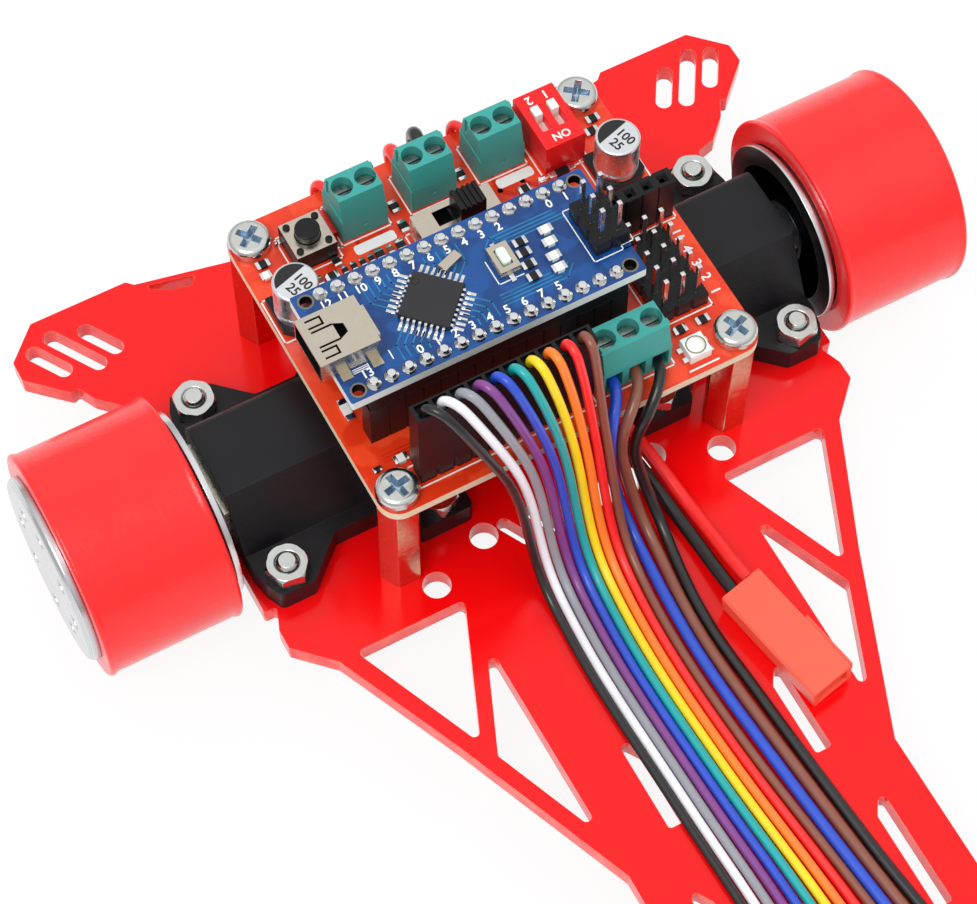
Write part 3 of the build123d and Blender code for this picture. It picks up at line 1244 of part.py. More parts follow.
def dip_switch():
    """The red two-way switch's body with a slot for each slider."""
    body = block(DIP_X, DIP_Y, (BOARD_TOP, BOARD_TOP + DIP_H))
    top = BOARD_TOP + DIP_H
    slots = [
        block((x - DIP_SLOT_W / 2, x + DIP_SLOT_W / 2), DIP_SLOT_Y, (top - DIP_SLOT_DEPTH, top + 1))
        for x in DIP_SLOT_XS
    ]
    return cut(body, slots)


def dip_slider(x):
    """A white slider at the rear end of its slot."""
    top = BOARD_TOP + DIP_H
    half = DIP_SLOT_W / 2 - BUTTON_GAP
    rear = DIP_SLOT_Y[1] - BUTTON_GAP
    return block(
        (x - half, x + half),
        (rear - DIP_SLIDER_L, rear),
        (top - DIP_SLOT_DEPTH + BUTTON_GAP, top + DIP_SLIDER_PROUD),
    )


def rgb_led():
    """The lamp: a square body with a round window, on four solder pads."""
    body = block_at(LED_CENTRE, (LED_W, LED_W, LED_H), BOARD_TOP)
    for x in row(2, LED_W + LED_PAD[0], LED_CENTRE[0]):
        for y in row(2, LED_W / 2, LED_CENTRE[1]):
            body += block_at((x, y), LED_PAD, BOARD_TOP)
    return body - column(LED_CENTRE, LED_LENS_R, (BOARD_TOP + LED_H - LED_LENS_DEPTH, BOARD_TOP + LED_H + 1))


def capacitor(centre):
    """An aluminium can, crimped above its base, on a moulded square with two cut corners."""
    base = block_at(centre, (CAP_BASE_W, CAP_BASE_W, CAP_BASE_H), BOARD_TOP)
    base = chamfer(base.edges().filter_by(Axis.Z).sort_by(Axis.Y)[:2], 1.0)
    base_top = BOARD_TOP + CAP_BASE_H
    can = column(centre, CAP_R, (base_top, BOARD_TOP + CAP_H))
    can = fillet(can.edges().sort_by(Axis.Z)[-1:], 0.4)
    groove_z, groove_w, groove_d = CAP_GROOVE
    groove = column(centre, CAP_R + 1, (base_top + groove_z, base_top + groove_z + groove_w))
    groove -= column(centre, CAP_R - groove_d, (base_top, BOARD_TOP + CAP_H))
    return base + (can - groove)


def capacitors():
    """Two can capacitors beside the plug-in board."""
    return solids([capacitor((side * CAP_X, CAP_Y)) for side in (1, -1)])


# ------------------------------------------------------------------ line sensor board
def sensor_board():
    """The board under the arm's tip that carries the line sensors."""
    depth = SENSOR_BOARD_Y[1] - SENSOR_BOARD_Y[0]
    middle = sum(SENSOR_BOARD_Y) / 2
    face = Pos(0, middle) * RectangleRounded(SENSOR_BOARD_W, depth, 2.0)
    for side in (1, -1):
        face -= Pos(side * TIP_BOLT[0], TIP_BOLT[1]) * Circle(HOLE_R)
    return prism(face, (SENSOR_BOTTOM, SENSOR_TOP))


def line_sensors():
    """Eight reflective sensors in a row under the board."""
    low = SENSOR_BOTTOM - SENSOR_SIZE[2]
    spread, eye_r, eye_depth = SENSOR_EYE
    pieces = []
    for x in row(SENSOR_COUNT, SENSOR_PITCH):
        sensor = block_at((x, SENSOR_ROW_Y), SENSOR_SIZE, low)
        for eye_x in row(2, 2 * spread, x):
            sensor -= column((eye_x, SENSOR_ROW_Y), eye_r, (low - 1, low + eye_depth))
        pieces.append(sensor)
    return solids(pieces)


# ------------------------------------------------------------------ wires
def corner_radii(points):
    """The largest radius that each corner of a route allows, 0.45 of its shorter run."""
    radii = []
    for before, here, after in zip(points, points[1:], points[2:]):
        incoming = Vector(*here) - Vector(*before)
        outgoing = Vector(*after) - Vector(*here)
        turn = radians(incoming.get_angle(outgoing))
        radii.append(0.45 * min(incoming.length, outgoing.length) / tan(turn / 2))
    return radii


def wire(name, points, radius):
    """A round wire along a route of straight runs joined by arcs."""
    radii = corner_radii(points)
    path = FilletPolyline(*points, radius=radii)
    start = Plane(origin=path @ 0, z_dir=path % 0)
    body = sweep(start * Circle(radius), path=path)
    expected = pi * radius**2 * path.length
    share = body.volume / expected
    print(f"{name}: length {path.length:.1f}, smallest radius {min(radii):.1f}, volume {share:.4f}")
    return body


def ribbon_route(k):
    """The points of one ribbon wire, the same share of the way between the first and the last."""
    share = k / (PLUG_WIRES - 1)
    return [
        tuple(a + share * (b - a) for a, b in zip(first, last))
        for first, last in RIBBON_STATIONS
    ]


def battery_plug():
    """The red two-way battery plug, open at its front end, lying a little on its side."""
    half = BATTERY_PLUG_W / 2
    body = block((-half, half), (-BATTERY_PLUG_L, 0), (0, BATTERY_PLUG_H))
    body = chamfer(body.edges().filter_by(Axis.Y), 0.35)
    wall = BATTERY_PLUG_WALL
    mouth = block(
        (-half + wall, half - wall),
        (-BATTERY_PLUG_L - 1, -BATTERY_PLUG_L + BATTERY_PLUG_MOUTH),
        (wall, BATTERY_PLUG_H - wall),
    )
    wire_holes = [
        Pos(side * 1.25, 0, BATTERY_PLUG_H / 2) * Rot(90, 0, 0) * Cylinder(BATTERY_WIRE_R + FIT, 3.0)
        for side in (1, -1)
    ]
    catch = block((half, half + 0.7), (-BATTERY_PLUG_L + 0.5, -9.0), (1.2, 3.2))
    plug = cut(body, [mouth, *wire_holes]) + catch
    tilt = Rot(0, -BATTERY_PLUG_ROLL, 0)
    turn = Rot(0, 0, BATTERY_PLUG_YAW)
    lift = half * sin(radians(BATTERY_PLUG_ROLL)) + 0.1
    return Pos(BATTERY_PLUG_REAR[0], BATTERY_PLUG_REAR[1], PLATE_TOP + lift) * turn * tilt * plug


def motor_leads():
    """The two leads of each motor, and the short sleeve that lies on the board."""
    pieces = [wire(name, points, MOTOR_WIRE_R) for name, points in MOTOR_LEADS.items()]
    sleeve = Rot(90, 0, 0) * Cylinder(MOTOR_WIRE_R, SLEEVE_Y[1] - SLEEVE_Y[0])
    pieces.append(Pos(SLEEVE_X, sum(SLEEVE_Y) / 2, BOARD_TOP + MOTOR_WIRE_R + FIT) * sleeve)
    return solids(pieces)


# ------------------------------------------------------------------ assembly
def nodes():
    """Every named piece of the robot."""
    pieces = {
        "chassis_plate": chassis_plate(),
        "motor_bracket_right": motor_bracket(),
        "motor_bracket_left": mirrored(motor_bracket()),
        "gearmotor_right": gearmotor(),
        "gearmotor_left": mirrored(gearmotor()),
        "motor_shaft_right": output_shaft(),
        "motor_shaft_left": mirrored(output_shaft()),
        "wheel_hub_right": wheel_hub(),
        "wheel_hub_left": mirrored(wheel_hub()),
        "tyre_right": tyre(),
        "tyre_left": mirrored(tyre()),
        "m3_bolts": m3_bolts(),
        "m3_nuts": m3_nuts(),
        "skid_nuts": skid_nuts(),
        "board_spacers": board_spacers(),
        "spacer_screws": spacer_screws(),
        "controller_board": controller_board(),
        "nano_board": nano_board(),
        "nano_sockets": nano_sockets(),
        "nano_pins": nano_pins(),
        "usb_socket": usb_socket(),
        "microcontroller": microcontroller(),
        "small_parts": small_parts(),
        "pin_headers": pin_headers(),
        "socket_header": socket_header(),
        "sensor_plug_rear": wire_plug(REAR_PLUG, BOARD_TOP),
        "sensor_plug_front": wire_plug(FRONT_PLUG, SENSOR_TOP),
        "two_way_terminals": two_way_terminals(),
        "sensor_terminal": sensor_terminal(),
        "terminal_screws": terminal_screws(),
        "tact_switch": tact_switch(),
        "tact_button": tact_button(),
        "reset_switch": reset_switch(),
        "reset_button": reset_button(),
        "slide_switch": slide_switch(),
        "slide_lever": slide_lever(),
        "dip_switch": dip_switch(),
        "dip_slider_1": dip_slider(DIP_SLOT_XS[0]),
        "dip_slider_2": dip_slider(DIP_SLOT_XS[1]),
        "rgb_led": rgb_led(),
        "capacitors": capacitors(),
        "sensor_board": sensor_board(),
        "line_sensors": line_sensors(),
        "motor_leads": motor_leads(),
        "battery_plug": battery_plug(),
    }
    for k, colour in enumerate(RIBBON_COLOURS):
        name = f"ribbon_wire_{colour}"
        pieces[name] = wire(name, ribbon_route(k), RIBBON_R)
    for name, points in TERMINAL_WIRES.items():
        pieces[name] = wire(name, points, TERMINAL_WIRE_R)
    for name, points in BATTERY_WIRES.items():
        pieces[name] = wire(name, points, BATTERY_WIRE_R)
    return pieces


def main():
    """Writes one STEP file for each node."""
    os.makedirs("parts", exist_ok=True)
    for name, shape in nodes().items():
        export_step(Pos(0, AXLE_Y, 0) * shape, f"parts/{name}.step")


main()
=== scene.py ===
"""Line follower robot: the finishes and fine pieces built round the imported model.

Places are given in millimetres about the middle of the wheel axle, X to the robot's right, Y to its rear and
Z up from the floor. The function at turns them into the part's own frame in metres.
"""

from __future__ import annotations

import json
import logging
from contextlib import contextmanager
from dataclasses import dataclass, field
from enum import Enum
from math import atan2, cos, hypot, pi, radians, sin
from typing import Callable, Iterator, Sequence

import bpy
from mathutils import Matrix, Vector

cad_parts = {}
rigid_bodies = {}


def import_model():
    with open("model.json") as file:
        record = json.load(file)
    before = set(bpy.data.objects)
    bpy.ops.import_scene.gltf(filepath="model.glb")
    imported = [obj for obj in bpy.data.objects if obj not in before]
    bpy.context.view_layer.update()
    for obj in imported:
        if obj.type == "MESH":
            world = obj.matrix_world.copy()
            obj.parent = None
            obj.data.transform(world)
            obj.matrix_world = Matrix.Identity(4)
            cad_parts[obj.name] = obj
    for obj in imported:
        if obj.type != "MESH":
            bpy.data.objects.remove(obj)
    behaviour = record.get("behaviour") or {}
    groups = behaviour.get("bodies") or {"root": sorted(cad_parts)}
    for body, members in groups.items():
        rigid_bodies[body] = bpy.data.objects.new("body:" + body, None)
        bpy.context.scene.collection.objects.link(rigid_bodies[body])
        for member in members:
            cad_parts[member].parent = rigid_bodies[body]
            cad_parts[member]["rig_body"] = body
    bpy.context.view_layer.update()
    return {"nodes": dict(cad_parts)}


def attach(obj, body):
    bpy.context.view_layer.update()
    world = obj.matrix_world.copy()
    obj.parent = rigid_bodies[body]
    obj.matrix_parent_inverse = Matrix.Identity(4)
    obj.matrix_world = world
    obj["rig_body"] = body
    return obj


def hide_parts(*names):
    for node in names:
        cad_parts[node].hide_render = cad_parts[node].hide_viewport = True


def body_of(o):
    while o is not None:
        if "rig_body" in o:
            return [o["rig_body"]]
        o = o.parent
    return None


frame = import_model()

LOG = logging.getLogger("line_follower")

MM = 0.001
AXLE_Y = 54.0  # of the axle behind the middle of the part's outline
PITCH = 2.54  # of every pin row
BOARD_TOP = 32.7
BOARD_REAR_Y = 27.35
NANO_BOTTOM = 43.7
NANO_TOP = 45.3
CHASSIS = "chassis"
PAINT_T = 0.03  # of printed ink
TRACK_T = 0.015  # of a copper track below the lacquer

Point = tuple[float, float, float]
Colour = tuple[float, float, float, float]
Piece = bpy.types.Object


# ------------------------------------------------------------------ places and colours
def at(x: float, y: float, z: float) -> Vector:
    """Turns a place in the robot's millimetres into the part's frame in metres."""
    return Vector((x * MM, (y + AXLE_Y) * MM, z * MM))


def back(point: Vector) -> Vector:
    """Turns a place in metres back into the robot's millimetres."""
    return Vector((point.x / MM, point.y / MM - AXLE_Y, point.z / MM))


def linear(code: str) -> Colour:
    """Turns a colour code into the linear values that a shader takes.

    Args:
        code: Six hexadecimal digits, as "D01A1C".

    Returns:
        Red, green, blue and an alpha of one.
    """
    values = []
    for start in (0, 2, 4):
        share = int(code[start : start + 2], 16) / 255
        values.append(share / 12.92 if share <= 0.04045 else ((share + 0.055) / 1.055) ** 2.4)
    return (values[0], values[1], values[2], 1.0)


def row(count: int, pitch: float, middle: float = 0.0) -> list[float]:
    """Lists evenly spaced places about a middle."""
    return [middle + (k - (count - 1) / 2) * pitch for k in range(count)]


# ------------------------------------------------------------------ finishes
class Graph:
    """The node tree of one material, read from the piece's own coordinates."""

    def __init__(self, name: str, roughness: float, metallic: float = 0.0) -> None:
        """Starts a material with the two values that most finishes set."""
        self.material = bpy.data.materials.new(name)
        self.material.use_nodes = True
        tree = self.material.node_tree
        self.nodes = tree.nodes
        self.links = tree.links
        self.shader = self.nodes["Principled BSDF"]
        self.shader.inputs["Roughness"].default_value = roughness
        self.shader.inputs["Metallic"].default_value = metallic
        self.place = self.nodes.new("ShaderNodeTexCoord").outputs["Object"]

    def set(self, name: str, value: float | Colour) -> None:
        """Sets one socket of the shader."""
        self.shader.inputs[name].default_value = value

    def feed(self, source: bpy.types.NodeSocket, name: str) -> None:
        """Links a value to a socket of the shader."""
        self.links.new(source, self.shader.inputs[name])

    def stretched(self, scale: Point, turn: Point = (0.0, 0.0, 0.0)) -> bpy.types.NodeSocket:
        """Stretches and turns the piece's coordinates.

        Args:
            scale: Factor along each axis.
            turn: Angle about each axis in degrees.

        Returns:
            The changed coordinates.
        """
        mapping = self.nodes.new("ShaderNodeMapping")
        mapping.inputs["Scale"].default_value = scale
        mapping.inputs["Rotation"].default_value = [radians(angle) for angle in turn]
        self.links.new(self.place, mapping.inputs["Vector"])
        return mapping.outputs["Vector"]

    def noise(
        self, size: float, detail: float = 4.0, place: bpy.types.NodeSocket | None = None
    ) -> bpy.types.NodeSocket:
        """Adds soft mottling.

        Args:
            size: Size of the largest patches in millimetres.
            detail: How many finer layers lie on them.
            place: Coordinates to read, the piece's own if none.

        Returns:
            A value from 0 to 1.
        """
        texture = self.nodes.new("ShaderNodeTexNoise")
        texture.inputs["Scale"].default_value = 1 / (size * MM)
        texture.inputs["Detail"].default_value = detail
        self.links.new(place or self.place, texture.inputs["Vector"])
        return texture.outputs["Fac"]

    def bands(self, pitch: float, axis: str, wobble: float = 0.0) -> bpy.types.NodeSocket:
        """Adds even bands across one axis.

        Args:
            pitch: Distance from one band to the next in millimetres.
            axis: X, Y, Z or DIAGONAL.
            wobble: How far noise bends the bands.

        Returns:
            A value from 0 to 1.
        """
        texture = self.nodes.new("ShaderNodeTexWave")
        texture.bands_direction = axis
        texture.inputs["Scale"].default_value = 2 * pi / 20 / (pitch * MM)
        texture.inputs["Distortion"].default_value = wobble
        texture.inputs["Detail Scale"].default_value = 0.5
        self.links.new(self.place, texture.inputs["Vector"])
        return texture.outputs["Fac"]

    def span(
        self, value: bpy.types.NodeSocket, low: float, high: float, start: float = 0.0, end: float = 1.0
    ) -> bpy.types.NodeSocket:
        """Maps a value's range from start to end onto the range from low to high."""
        node = self.nodes.new("ShaderNodeMapRange")
        node.inputs["From Min"].default_value = start
        node.inputs["From Max"].default_value = end
        node.inputs["To Min"].default_value = low
        node.inputs["To Max"].default_value = high
        self.links.new(value, node.inputs["Value"])
        return node.outputs["Result"]

    def between(self, factor: bpy.types.NodeSocket, first: Colour, second: Colour) -> bpy.types.NodeSocket:
        """Mixes two colours by a value."""
        node = self.nodes.new("ShaderNodeMix")
        node.data_type = "RGBA"
        self.links.new(factor, node.inputs["Factor"])
        node.inputs["A"].default_value = first
        node.inputs["B"].default_value = second
        for socket, colour in zip([s for s in node.inputs if s.type == "RGBA"], (first, second)):
            socket.default_value = colour
        return next(s for s in node.outputs if s.type == "RGBA")

    def bump(self, height: bpy.types.NodeSocket, depth: float) -> None:
        """Raises the surface by a height field of the given depth in millimetres, over any earlier one."""
        node = self.nodes.new("ShaderNodeBump")
        node.inputs["Strength"].default_value = 1.0
        node.inputs["Distance"].default_value = depth * MM
        self.links.new(height, node.inputs["Height"])
        normal = self.shader.inputs["Normal"]
        if normal.is_linked:
            self.links.new(normal.links[0].from_socket, node.inputs["Normal"])
        self.links.new(node.outputs["Normal"], normal)


def shaded(colour: Colour, factor: float) -> Colour:
    """Darkens or lightens a colour."""
    return tuple(min(1.0, value * factor) for value in colour[:3]) + (1.0,)


@dataclass(frozen=True)
class Moulded:
    """Injection-moulded plastic with a fine grain and a little mottling."""

    name: str
    code: str
    roughness: float = 0.38
    grain: float = 0.25
    grain_depth: float = 0.006
    mottling: float = 0.12
    specular: float = 0.3

    def material(self) -> bpy.types.Material:
        """Builds the material."""
        graph = Graph(self.name, self.roughness)
        colour = linear(self.code)
        cloud = graph.noise(2.5, 5.0)
        graph.feed(
            graph.between(cloud, shaded(colour, 1 - self.mottling), shaded(colour, 1 + self.mottling)),
            "Base Color",
        )
        graph.feed(
            graph.span(graph.noise(0.9, 3.0), self.roughness * 0.8, self.roughness * 1.2), "Roughness"
        )
        graph.bump(graph.noise(self.grain, 2.0), self.grain_depth)
        graph.set("Specular IOR Level", self.specular)
        return graph.material


@dataclass(frozen=True)
class Acrylic:
    """Cast acrylic sheet: a deep gloss with faint handling marks."""

    name: str
    code: str
    deep_code: str
    roughness: float = 0.16

    def material(self) -> bpy.types.Material:
        """Builds the material."""
        graph = Graph(self.name, self.roughness)
        cloud = graph.noise(26.0, 2.0)
        graph.feed(graph.between(cloud, linear(self.deep_code), linear(self.code)), "Base Color")
        graph.feed(graph.span(graph.noise(5.0, 5.0), 0.12, 0.22, 0.35, 0.75), "Roughness")
        graph.bump(graph.noise(9.0, 1.0), 0.004)
        graph.set("IOR", 1.49)
        graph.set("Specular IOR Level", 0.37)
        return graph.material


@dataclass(frozen=True)
class CutEdge:
    """The laser-cut edge of the sheet, lit from within and faintly ribbed."""

    name: str
    code: str
    light_code: str
    rib: float = 0.22

    def material(self) -> bpy.types.Material:
        """Builds the material."""
        graph = Graph(self.name, 0.16)
        glow = graph.noise(3.2, 3.0)
        graph.feed(
            graph.between(graph.span(glow, 0, 1, 0.35, 0.68), linear(self.code), linear(self.light_code)),
            "Base Color",
        )
        ribs = graph.noise(self.rib, 2.0, graph.stretched((1.0, 1.0, 0.08)))
        graph.bump(ribs, 0.012)
        graph.set("IOR", 1.49)
        return graph.material


@dataclass(frozen=True)
class LayeredPrint:
    """Printed plastic with the lines of its layers."""

    name: str
    code: str
    layer: float = 0.2
    depth: float = 0.02

    def material(self) -> bpy.types.Material:
        """Builds the material."""
        graph = Graph(self.name, 0.34)
        colour = linear(self.code)
        graph.feed(
            graph.between(graph.noise(5.0, 4.0), shaded(colour, 0.75), shaded(colour, 1.35)), "Base Color"
        )
        graph.feed(graph.span(graph.noise(1.4, 4.0), 0.24, 0.45), "Roughness")
        graph.bump(graph.bands(self.layer, "Z", 0.4), self.depth)
        strokes = graph.noise(0.4, 2.0, graph.stretched((0.05, 1.0, 1.0)))
        graph.bump(strokes, self.depth * 1.6)
        graph.bump(graph.noise(0.6, 3.0), self.depth * 0.5)
        graph.set("Specular IOR Level", 0.28)
        return graph.material


@dataclass(frozen=True)
class Metal:
    """Plated or bare metal with fine scratches."""

    name: str
    code: str
    roughness: float = 0.22
    scratch: float = 0.006
    stain: float = 0.12

    def material(self) -> bpy.types.Material:
        """Builds the material."""
        graph = Graph(self.name, self.roughness, 1.0)
        colour = linear(self.code)
        graph.feed(
            graph.between(
                graph.noise(1.8, 5.0), shaded(colour, 1 - self.stain), shaded(colour, 1 + self.stain)
            ),
            "Base Color",
        )
        graph.feed(
            graph.span(graph.noise(0.7, 4.0), self.roughness * 0.65, self.roughness * 1.4, 0.3, 0.7),
            "Roughness",
        )
        graph.bump(graph.noise(0.3, 3.0, graph.stretched((1.0, 0.12, 1.0))), self.scratch)
        return graph.material


@dataclass(frozen=True)
class Threaded:
    """The zinc-plated end of a screw with its thread, with painted shade in the thread's grooves."""

    name: str
    code: str
    pitch: float = 0.5
    depth: float = 0.12

    def material(self) -> bpy.types.Material:
        """Builds the material."""
        graph = Graph(self.name, 0.25, 1.0)
        colour = linear(self.code)
        lines = graph.bands(self.pitch, "Z")
        # Painted shade: the colour darkens along the thread's grooves.
        graph.feed(graph.between(lines, shaded(colour, 0.45), colour), "Base Color")
        graph.bump(lines, self.depth)
        return graph.material


@dataclass(frozen=True)
class Turned:
    """Aluminium from the lathe, with fine rings about the axle."""

    name: str
    code: str
    ring: float = 0.25
    depth: float = 0.004
    roughness: float = 0.24

    def material(self) -> bpy.types.Material:
        """Builds the material."""
        graph = Graph(self.name, self.roughness, 1.0)
        colour = linear(self.code)
        texture = graph.nodes.new("ShaderNodeTexWave")
        texture.wave_type = "RINGS"
        texture.rings_direction = "X"
        texture.inputs["Scale"].default_value = 2 * pi / 20 / (self.ring * MM)
        texture.inputs["Distortion"].default_value = 0.6
        mapping = graph.nodes.new("ShaderNodeMapping")
        mapping.inputs["Location"].default_value = -at(0.0, 0.0, 16.4)
        graph.links.new(graph.place, mapping.inputs["Vector"])
        graph.links.new(mapping.outputs["Vector"], texture.inputs["Vector"])
        rings = texture.outputs["Fac"]
        graph.feed(graph.between(rings, shaded(colour, 0.86), colour), "Base Color")
        graph.feed(
            graph.span(graph.noise(3.0, 4.0), self.roughness * 0.7, self.roughness * 1.4), "Roughness"
        )
        graph.bump(rings, self.depth)
        return graph.material


@dataclass(frozen=True)
class Silicone:
    """The soft satin rubber of a tyre, with a faint bloom."""

    name: str
    code: str
    deep_code: str

    def material(self) -> bpy.types.Material:
        """Builds the material."""
        graph = Graph(self.name, 0.3)
        graph.feed(
            graph.between(graph.noise(7.0, 5.0), linear(self.deep_code), linear(self.code)), "Base Color"
        )
        graph.feed(graph.span(graph.noise(2.2, 5.0), 0.15, 0.3), "Roughness")
        graph.bump(graph.noise(0.6, 4.0), 0.05)
        graph.bump(graph.noise(2.5, 3.0, graph.stretched((1.0, 0.5, 0.5))), 0.08)
        graph.set("Sheen Weight", 0.03)
        graph.set("Sheen Roughness", 0.4)
        return graph.material


@dataclass(frozen=True)
class SolderMask:
    """A board's lacquer over its copper, with the copper areas showing through."""

    name: str
    code: str
    copper_code: str
    patch: float = 6.0
    roughness: float = 0.24

    def material(self) -> bpy.types.Material:
        """Builds the material."""
        graph = Graph(self.name, self.roughness)
        weave = graph.noise(self.patch, 1.5)
        copper = graph.span(weave, 0.0, 1.0, 0.47, 0.53)
        graph.feed(graph.between(copper, linear(self.code), linear(self.copper_code)), "Base Color")
        graph.feed(
            graph.span(graph.noise(1.2, 3.0), self.roughness * 0.8, self.roughness * 1.3), "Roughness"
        )
        graph.bump(copper, 0.01)
        graph.bump(graph.noise(0.5, 2.0), 0.003)
        graph.set("Specular IOR Level", 0.35)
        graph.set("Coat Weight", 0.15)
        graph.set("Coat Roughness", 0.12)
        return graph.material


@dataclass(frozen=True)
class Laminate:
    """The cut edge of a board: pale glass fibre in thin layers."""

    name: str
    code: str
    layer: float = 0.2

    def material(self) -> bpy.types.Material:
        """Builds the material."""
        graph = Graph(self.name, 0.5)
        colour = linear(self.code)
        lines = graph.bands(self.layer, "Z", 1.5)
        graph.feed(graph.between(lines, shaded(colour, 0.8), colour), "Base Color")
        graph.bump(graph.noise(0.3, 3.0), 0.02)
        return graph.material


@dataclass(frozen=True)
class Insulation:
    """The skin of a wire, smooth with small scuffs."""

    name: str
    code: str
    roughness: float = 0.28

    def material(self) -> bpy.types.Material:
        """Builds the material."""
        graph = Graph(self.name, self.roughness)
        colour = linear(self.code)
        graph.feed(
            graph.between(graph.noise(4.0, 3.0), shaded(colour, 0.9), shaded(colour, 1.1)), "Base Color"
        )
        graph.feed(
            graph.span(graph.noise(1.5, 4.0), self.roughness * 0.8, self.roughness * 1.5), "Roughness"
        )
        graph.bump(graph.noise(0.8, 3.0), 0.012)
        graph.set("Coat Weight", 0.35)
        graph.set("Coat Roughness", 0.15)
        return graph.material


@dataclass(frozen=True)
class Ink:
    """Printed ink with slightly uneven cover."""

    name: str
    code: str

    def material(self) -> bpy.types.Material:
        """Builds the material."""
        graph = Graph(self.name, 0.55)
        colour = linear(self.code)
        graph.feed(graph.between(graph.noise(0.5, 3.0), shaded(colour, 0.86), colour), "Base Color")
        graph.bump(graph.noise(0.15, 2.0), 0.004)
        return graph.material


Finish = (
    Moulded | Acrylic | CutEdge | LayeredPrint | Metal | Threaded | Turned | Silicone | SolderMask | Laminate
    | Insulation | Ink
)


class Palette:
    """Builds each finish once and hands out its material."""

    def __init__(self) -> None:
        """Starts empty."""
        self.made: dict[str, bpy.types.Material] = {}

    def material(self, finish: Finish) -> bpy.types.Material:
        """Gives the material of a finish, made at its first use."""
        if finish.name not in self.made:
            self.made[finish.name] = finish.material()
        return self.made[finish.name]


PALETTE = Palette()

RED_SHEET = Acrylic("red_sheet", "F3090C", "EA0609")
# Painted light: the plate's cut edge is lighter in patches, standing in for light carried through the sheet,
# and its rounded rim is paler still as a painted highlight.
RED_EDGE_GLOW = CutEdge("red_sheet_edge", "E8151A", "FF5A48")
RED_RIM_GLOW = CutEdge("red_sheet_rim", "FF5542", "FFB39C", 0.5)
BLACK_PRINT = LayeredPrint("black_print", "161518")
BRASS = Metal("brass", "C98A52", 0.2)
COPPER = Metal("coppered_brass", "D08468", 0.2)
ZINC = Metal("zinc", "D2D4D0", 0.2)
# Painted shade: a darker, bluish zinc for the inside of the screws' recesses.
RECESS_SHADE_ZINC = Metal("painted_shade_zinc", "B2C2D0", 0.3)
# Painted shade: the terminal screws sit deep in their wells and get a darker steel.
WELL_SHADED_SCREW_STEEL = Metal("terminal_steel_painted_shade", "8E9A96", 0.3)
RING_METAL = Metal("hole_plating", "8A8478", 0.35)
# Painted shade: a dark aluminium for the inside of the hub's hollow.
HOLLOW_SHADE_ALUMINIUM = Turned("painted_shade_aluminium", "45484D", roughness=0.3)
STEEL = Metal("steel", "B9BABC", 0.25)
NICKEL = Metal("nickel", "CBC2B2", 0.26, stain=0.06)
TIN = Metal("tin", "E2E3E4", 0.16)
CAN = Metal("can_aluminium", "E6E8EC", 0.34, stain=0.05)
THREAD = Threaded("zinc_thread", "D2D4D0")
ALUMINIUM = Turned("aluminium", "DEDFE1")
RED_SILICONE = Silicone("red_silicone", "F52422", "EA1617")
BLACK_PLASTIC = Moulded("black_plastic", "121213", 0.34, specular=0.28)
# Painted shade: a near-black finish for the inside of bores, holes and openings.
CAVITY_SHADE = Moulded("painted_shade_cavity", "0B0B0C", 0.6, specular=0.1)
CHIP_EPOXY = Moulded("chip_epoxy", "2A2A2C", 0.5, grain=0.15, grain_depth=0.008, mottling=0.08)
WHITE_NYLON = Moulded("white_nylon", "E6E6E2", 0.4, mottling=0.04)
PALE_RUBBER = Moulded("pale_rubber", "D3E0D6", 0.5, mottling=0.05)
FROSTED_LENS = Moulded("frosted_lens", "E9ECE4", 0.3, mottling=0.04)
GREEN_PLASTIC = Moulded("green_plastic", "3A9790", 0.42, grain_depth=0.008, mottling=0.06)
RED_PLASTIC = Moulded("red_plastic", "EE1A1C", 0.3, mottling=0.05)
CORAL_PLASTIC = Moulded("coral_plastic", "FF5F4A", 0.32, mottling=0.06)
BROWN_CERAMIC = Moulded("brown_ceramic", "7A4A34", 0.4, mottling=0.1)
BLACK_FILM = Moulded("black_film", "17171A", 0.28, grain_depth=0.002)
RED_MASK = SolderMask("red_mask", "EC4520", "DC3410", 5.0)
BLUE_MASK = SolderMask("blue_mask", "0E488A", "0B3A76", 4.0)
BLUE_TRACK = SolderMask("blue_track", "1674A0", "12668E", 3.0)
RED_TRACK = SolderMask("red_track", "D0280E", "C4220C", 3.0)
LAMINATE = Laminate("laminate", "E6D6B8")
PALE_LAMINATE = Laminate("pale_laminate", "E2ECEA")
WHITE_INK = Ink("white_ink", "F4F4F1")
BLACK_INK = Ink("black_ink", "161617")


# ------------------------------------------------------------------ modelling by hand
def select_only(*chosen: Piece) -> None:
    """Selects these objects alone and makes the first one active."""
    bpy.ops.object.select_all(action="DESELECT")
    for piece in chosen:
        piece.select_set(True)
    bpy.context.view_layer.objects.active = chosen[0]


@contextmanager
def editing(piece: Piece) -> Iterator[None]:
    """Opens a piece in edit mode with nothing selected, and closes it again."""
    select_only(piece)
    bpy.ops.object.mode_set(mode="EDIT")
    bpy.ops.mesh.select_all(action="DESELECT")
    try:
        yield
    finally:
        bpy.ops.object.mode_set(mode="OBJECT")


def select_faces(piece: Piece, wanted: Callable[[Vector, Vector], bool]) -> None:
    """Selects the faces whose middle and normal pass a test, in edit mode.

    Args:
        piece: The piece that is open in edit mode.
        wanted: Takes a face's middle in the robot's millimetres and its normal.
    """
    bpy.ops.object.mode_set(mode="OBJECT")
    for face in piece.data.polygons:
        face.select = wanted(back(face.center), face.normal)
    bpy.ops.object.mode_set(mode="EDIT")
    bpy.ops.mesh.select_mode(type="FACE")


def apply_place(piece: Piece) -> Piece:
    """Puts the object's place, turn and scale into its mesh."""
    select_only(piece)
    bpy.ops.object.transform_apply(location=True, rotation=True, scale=True)
    return piece


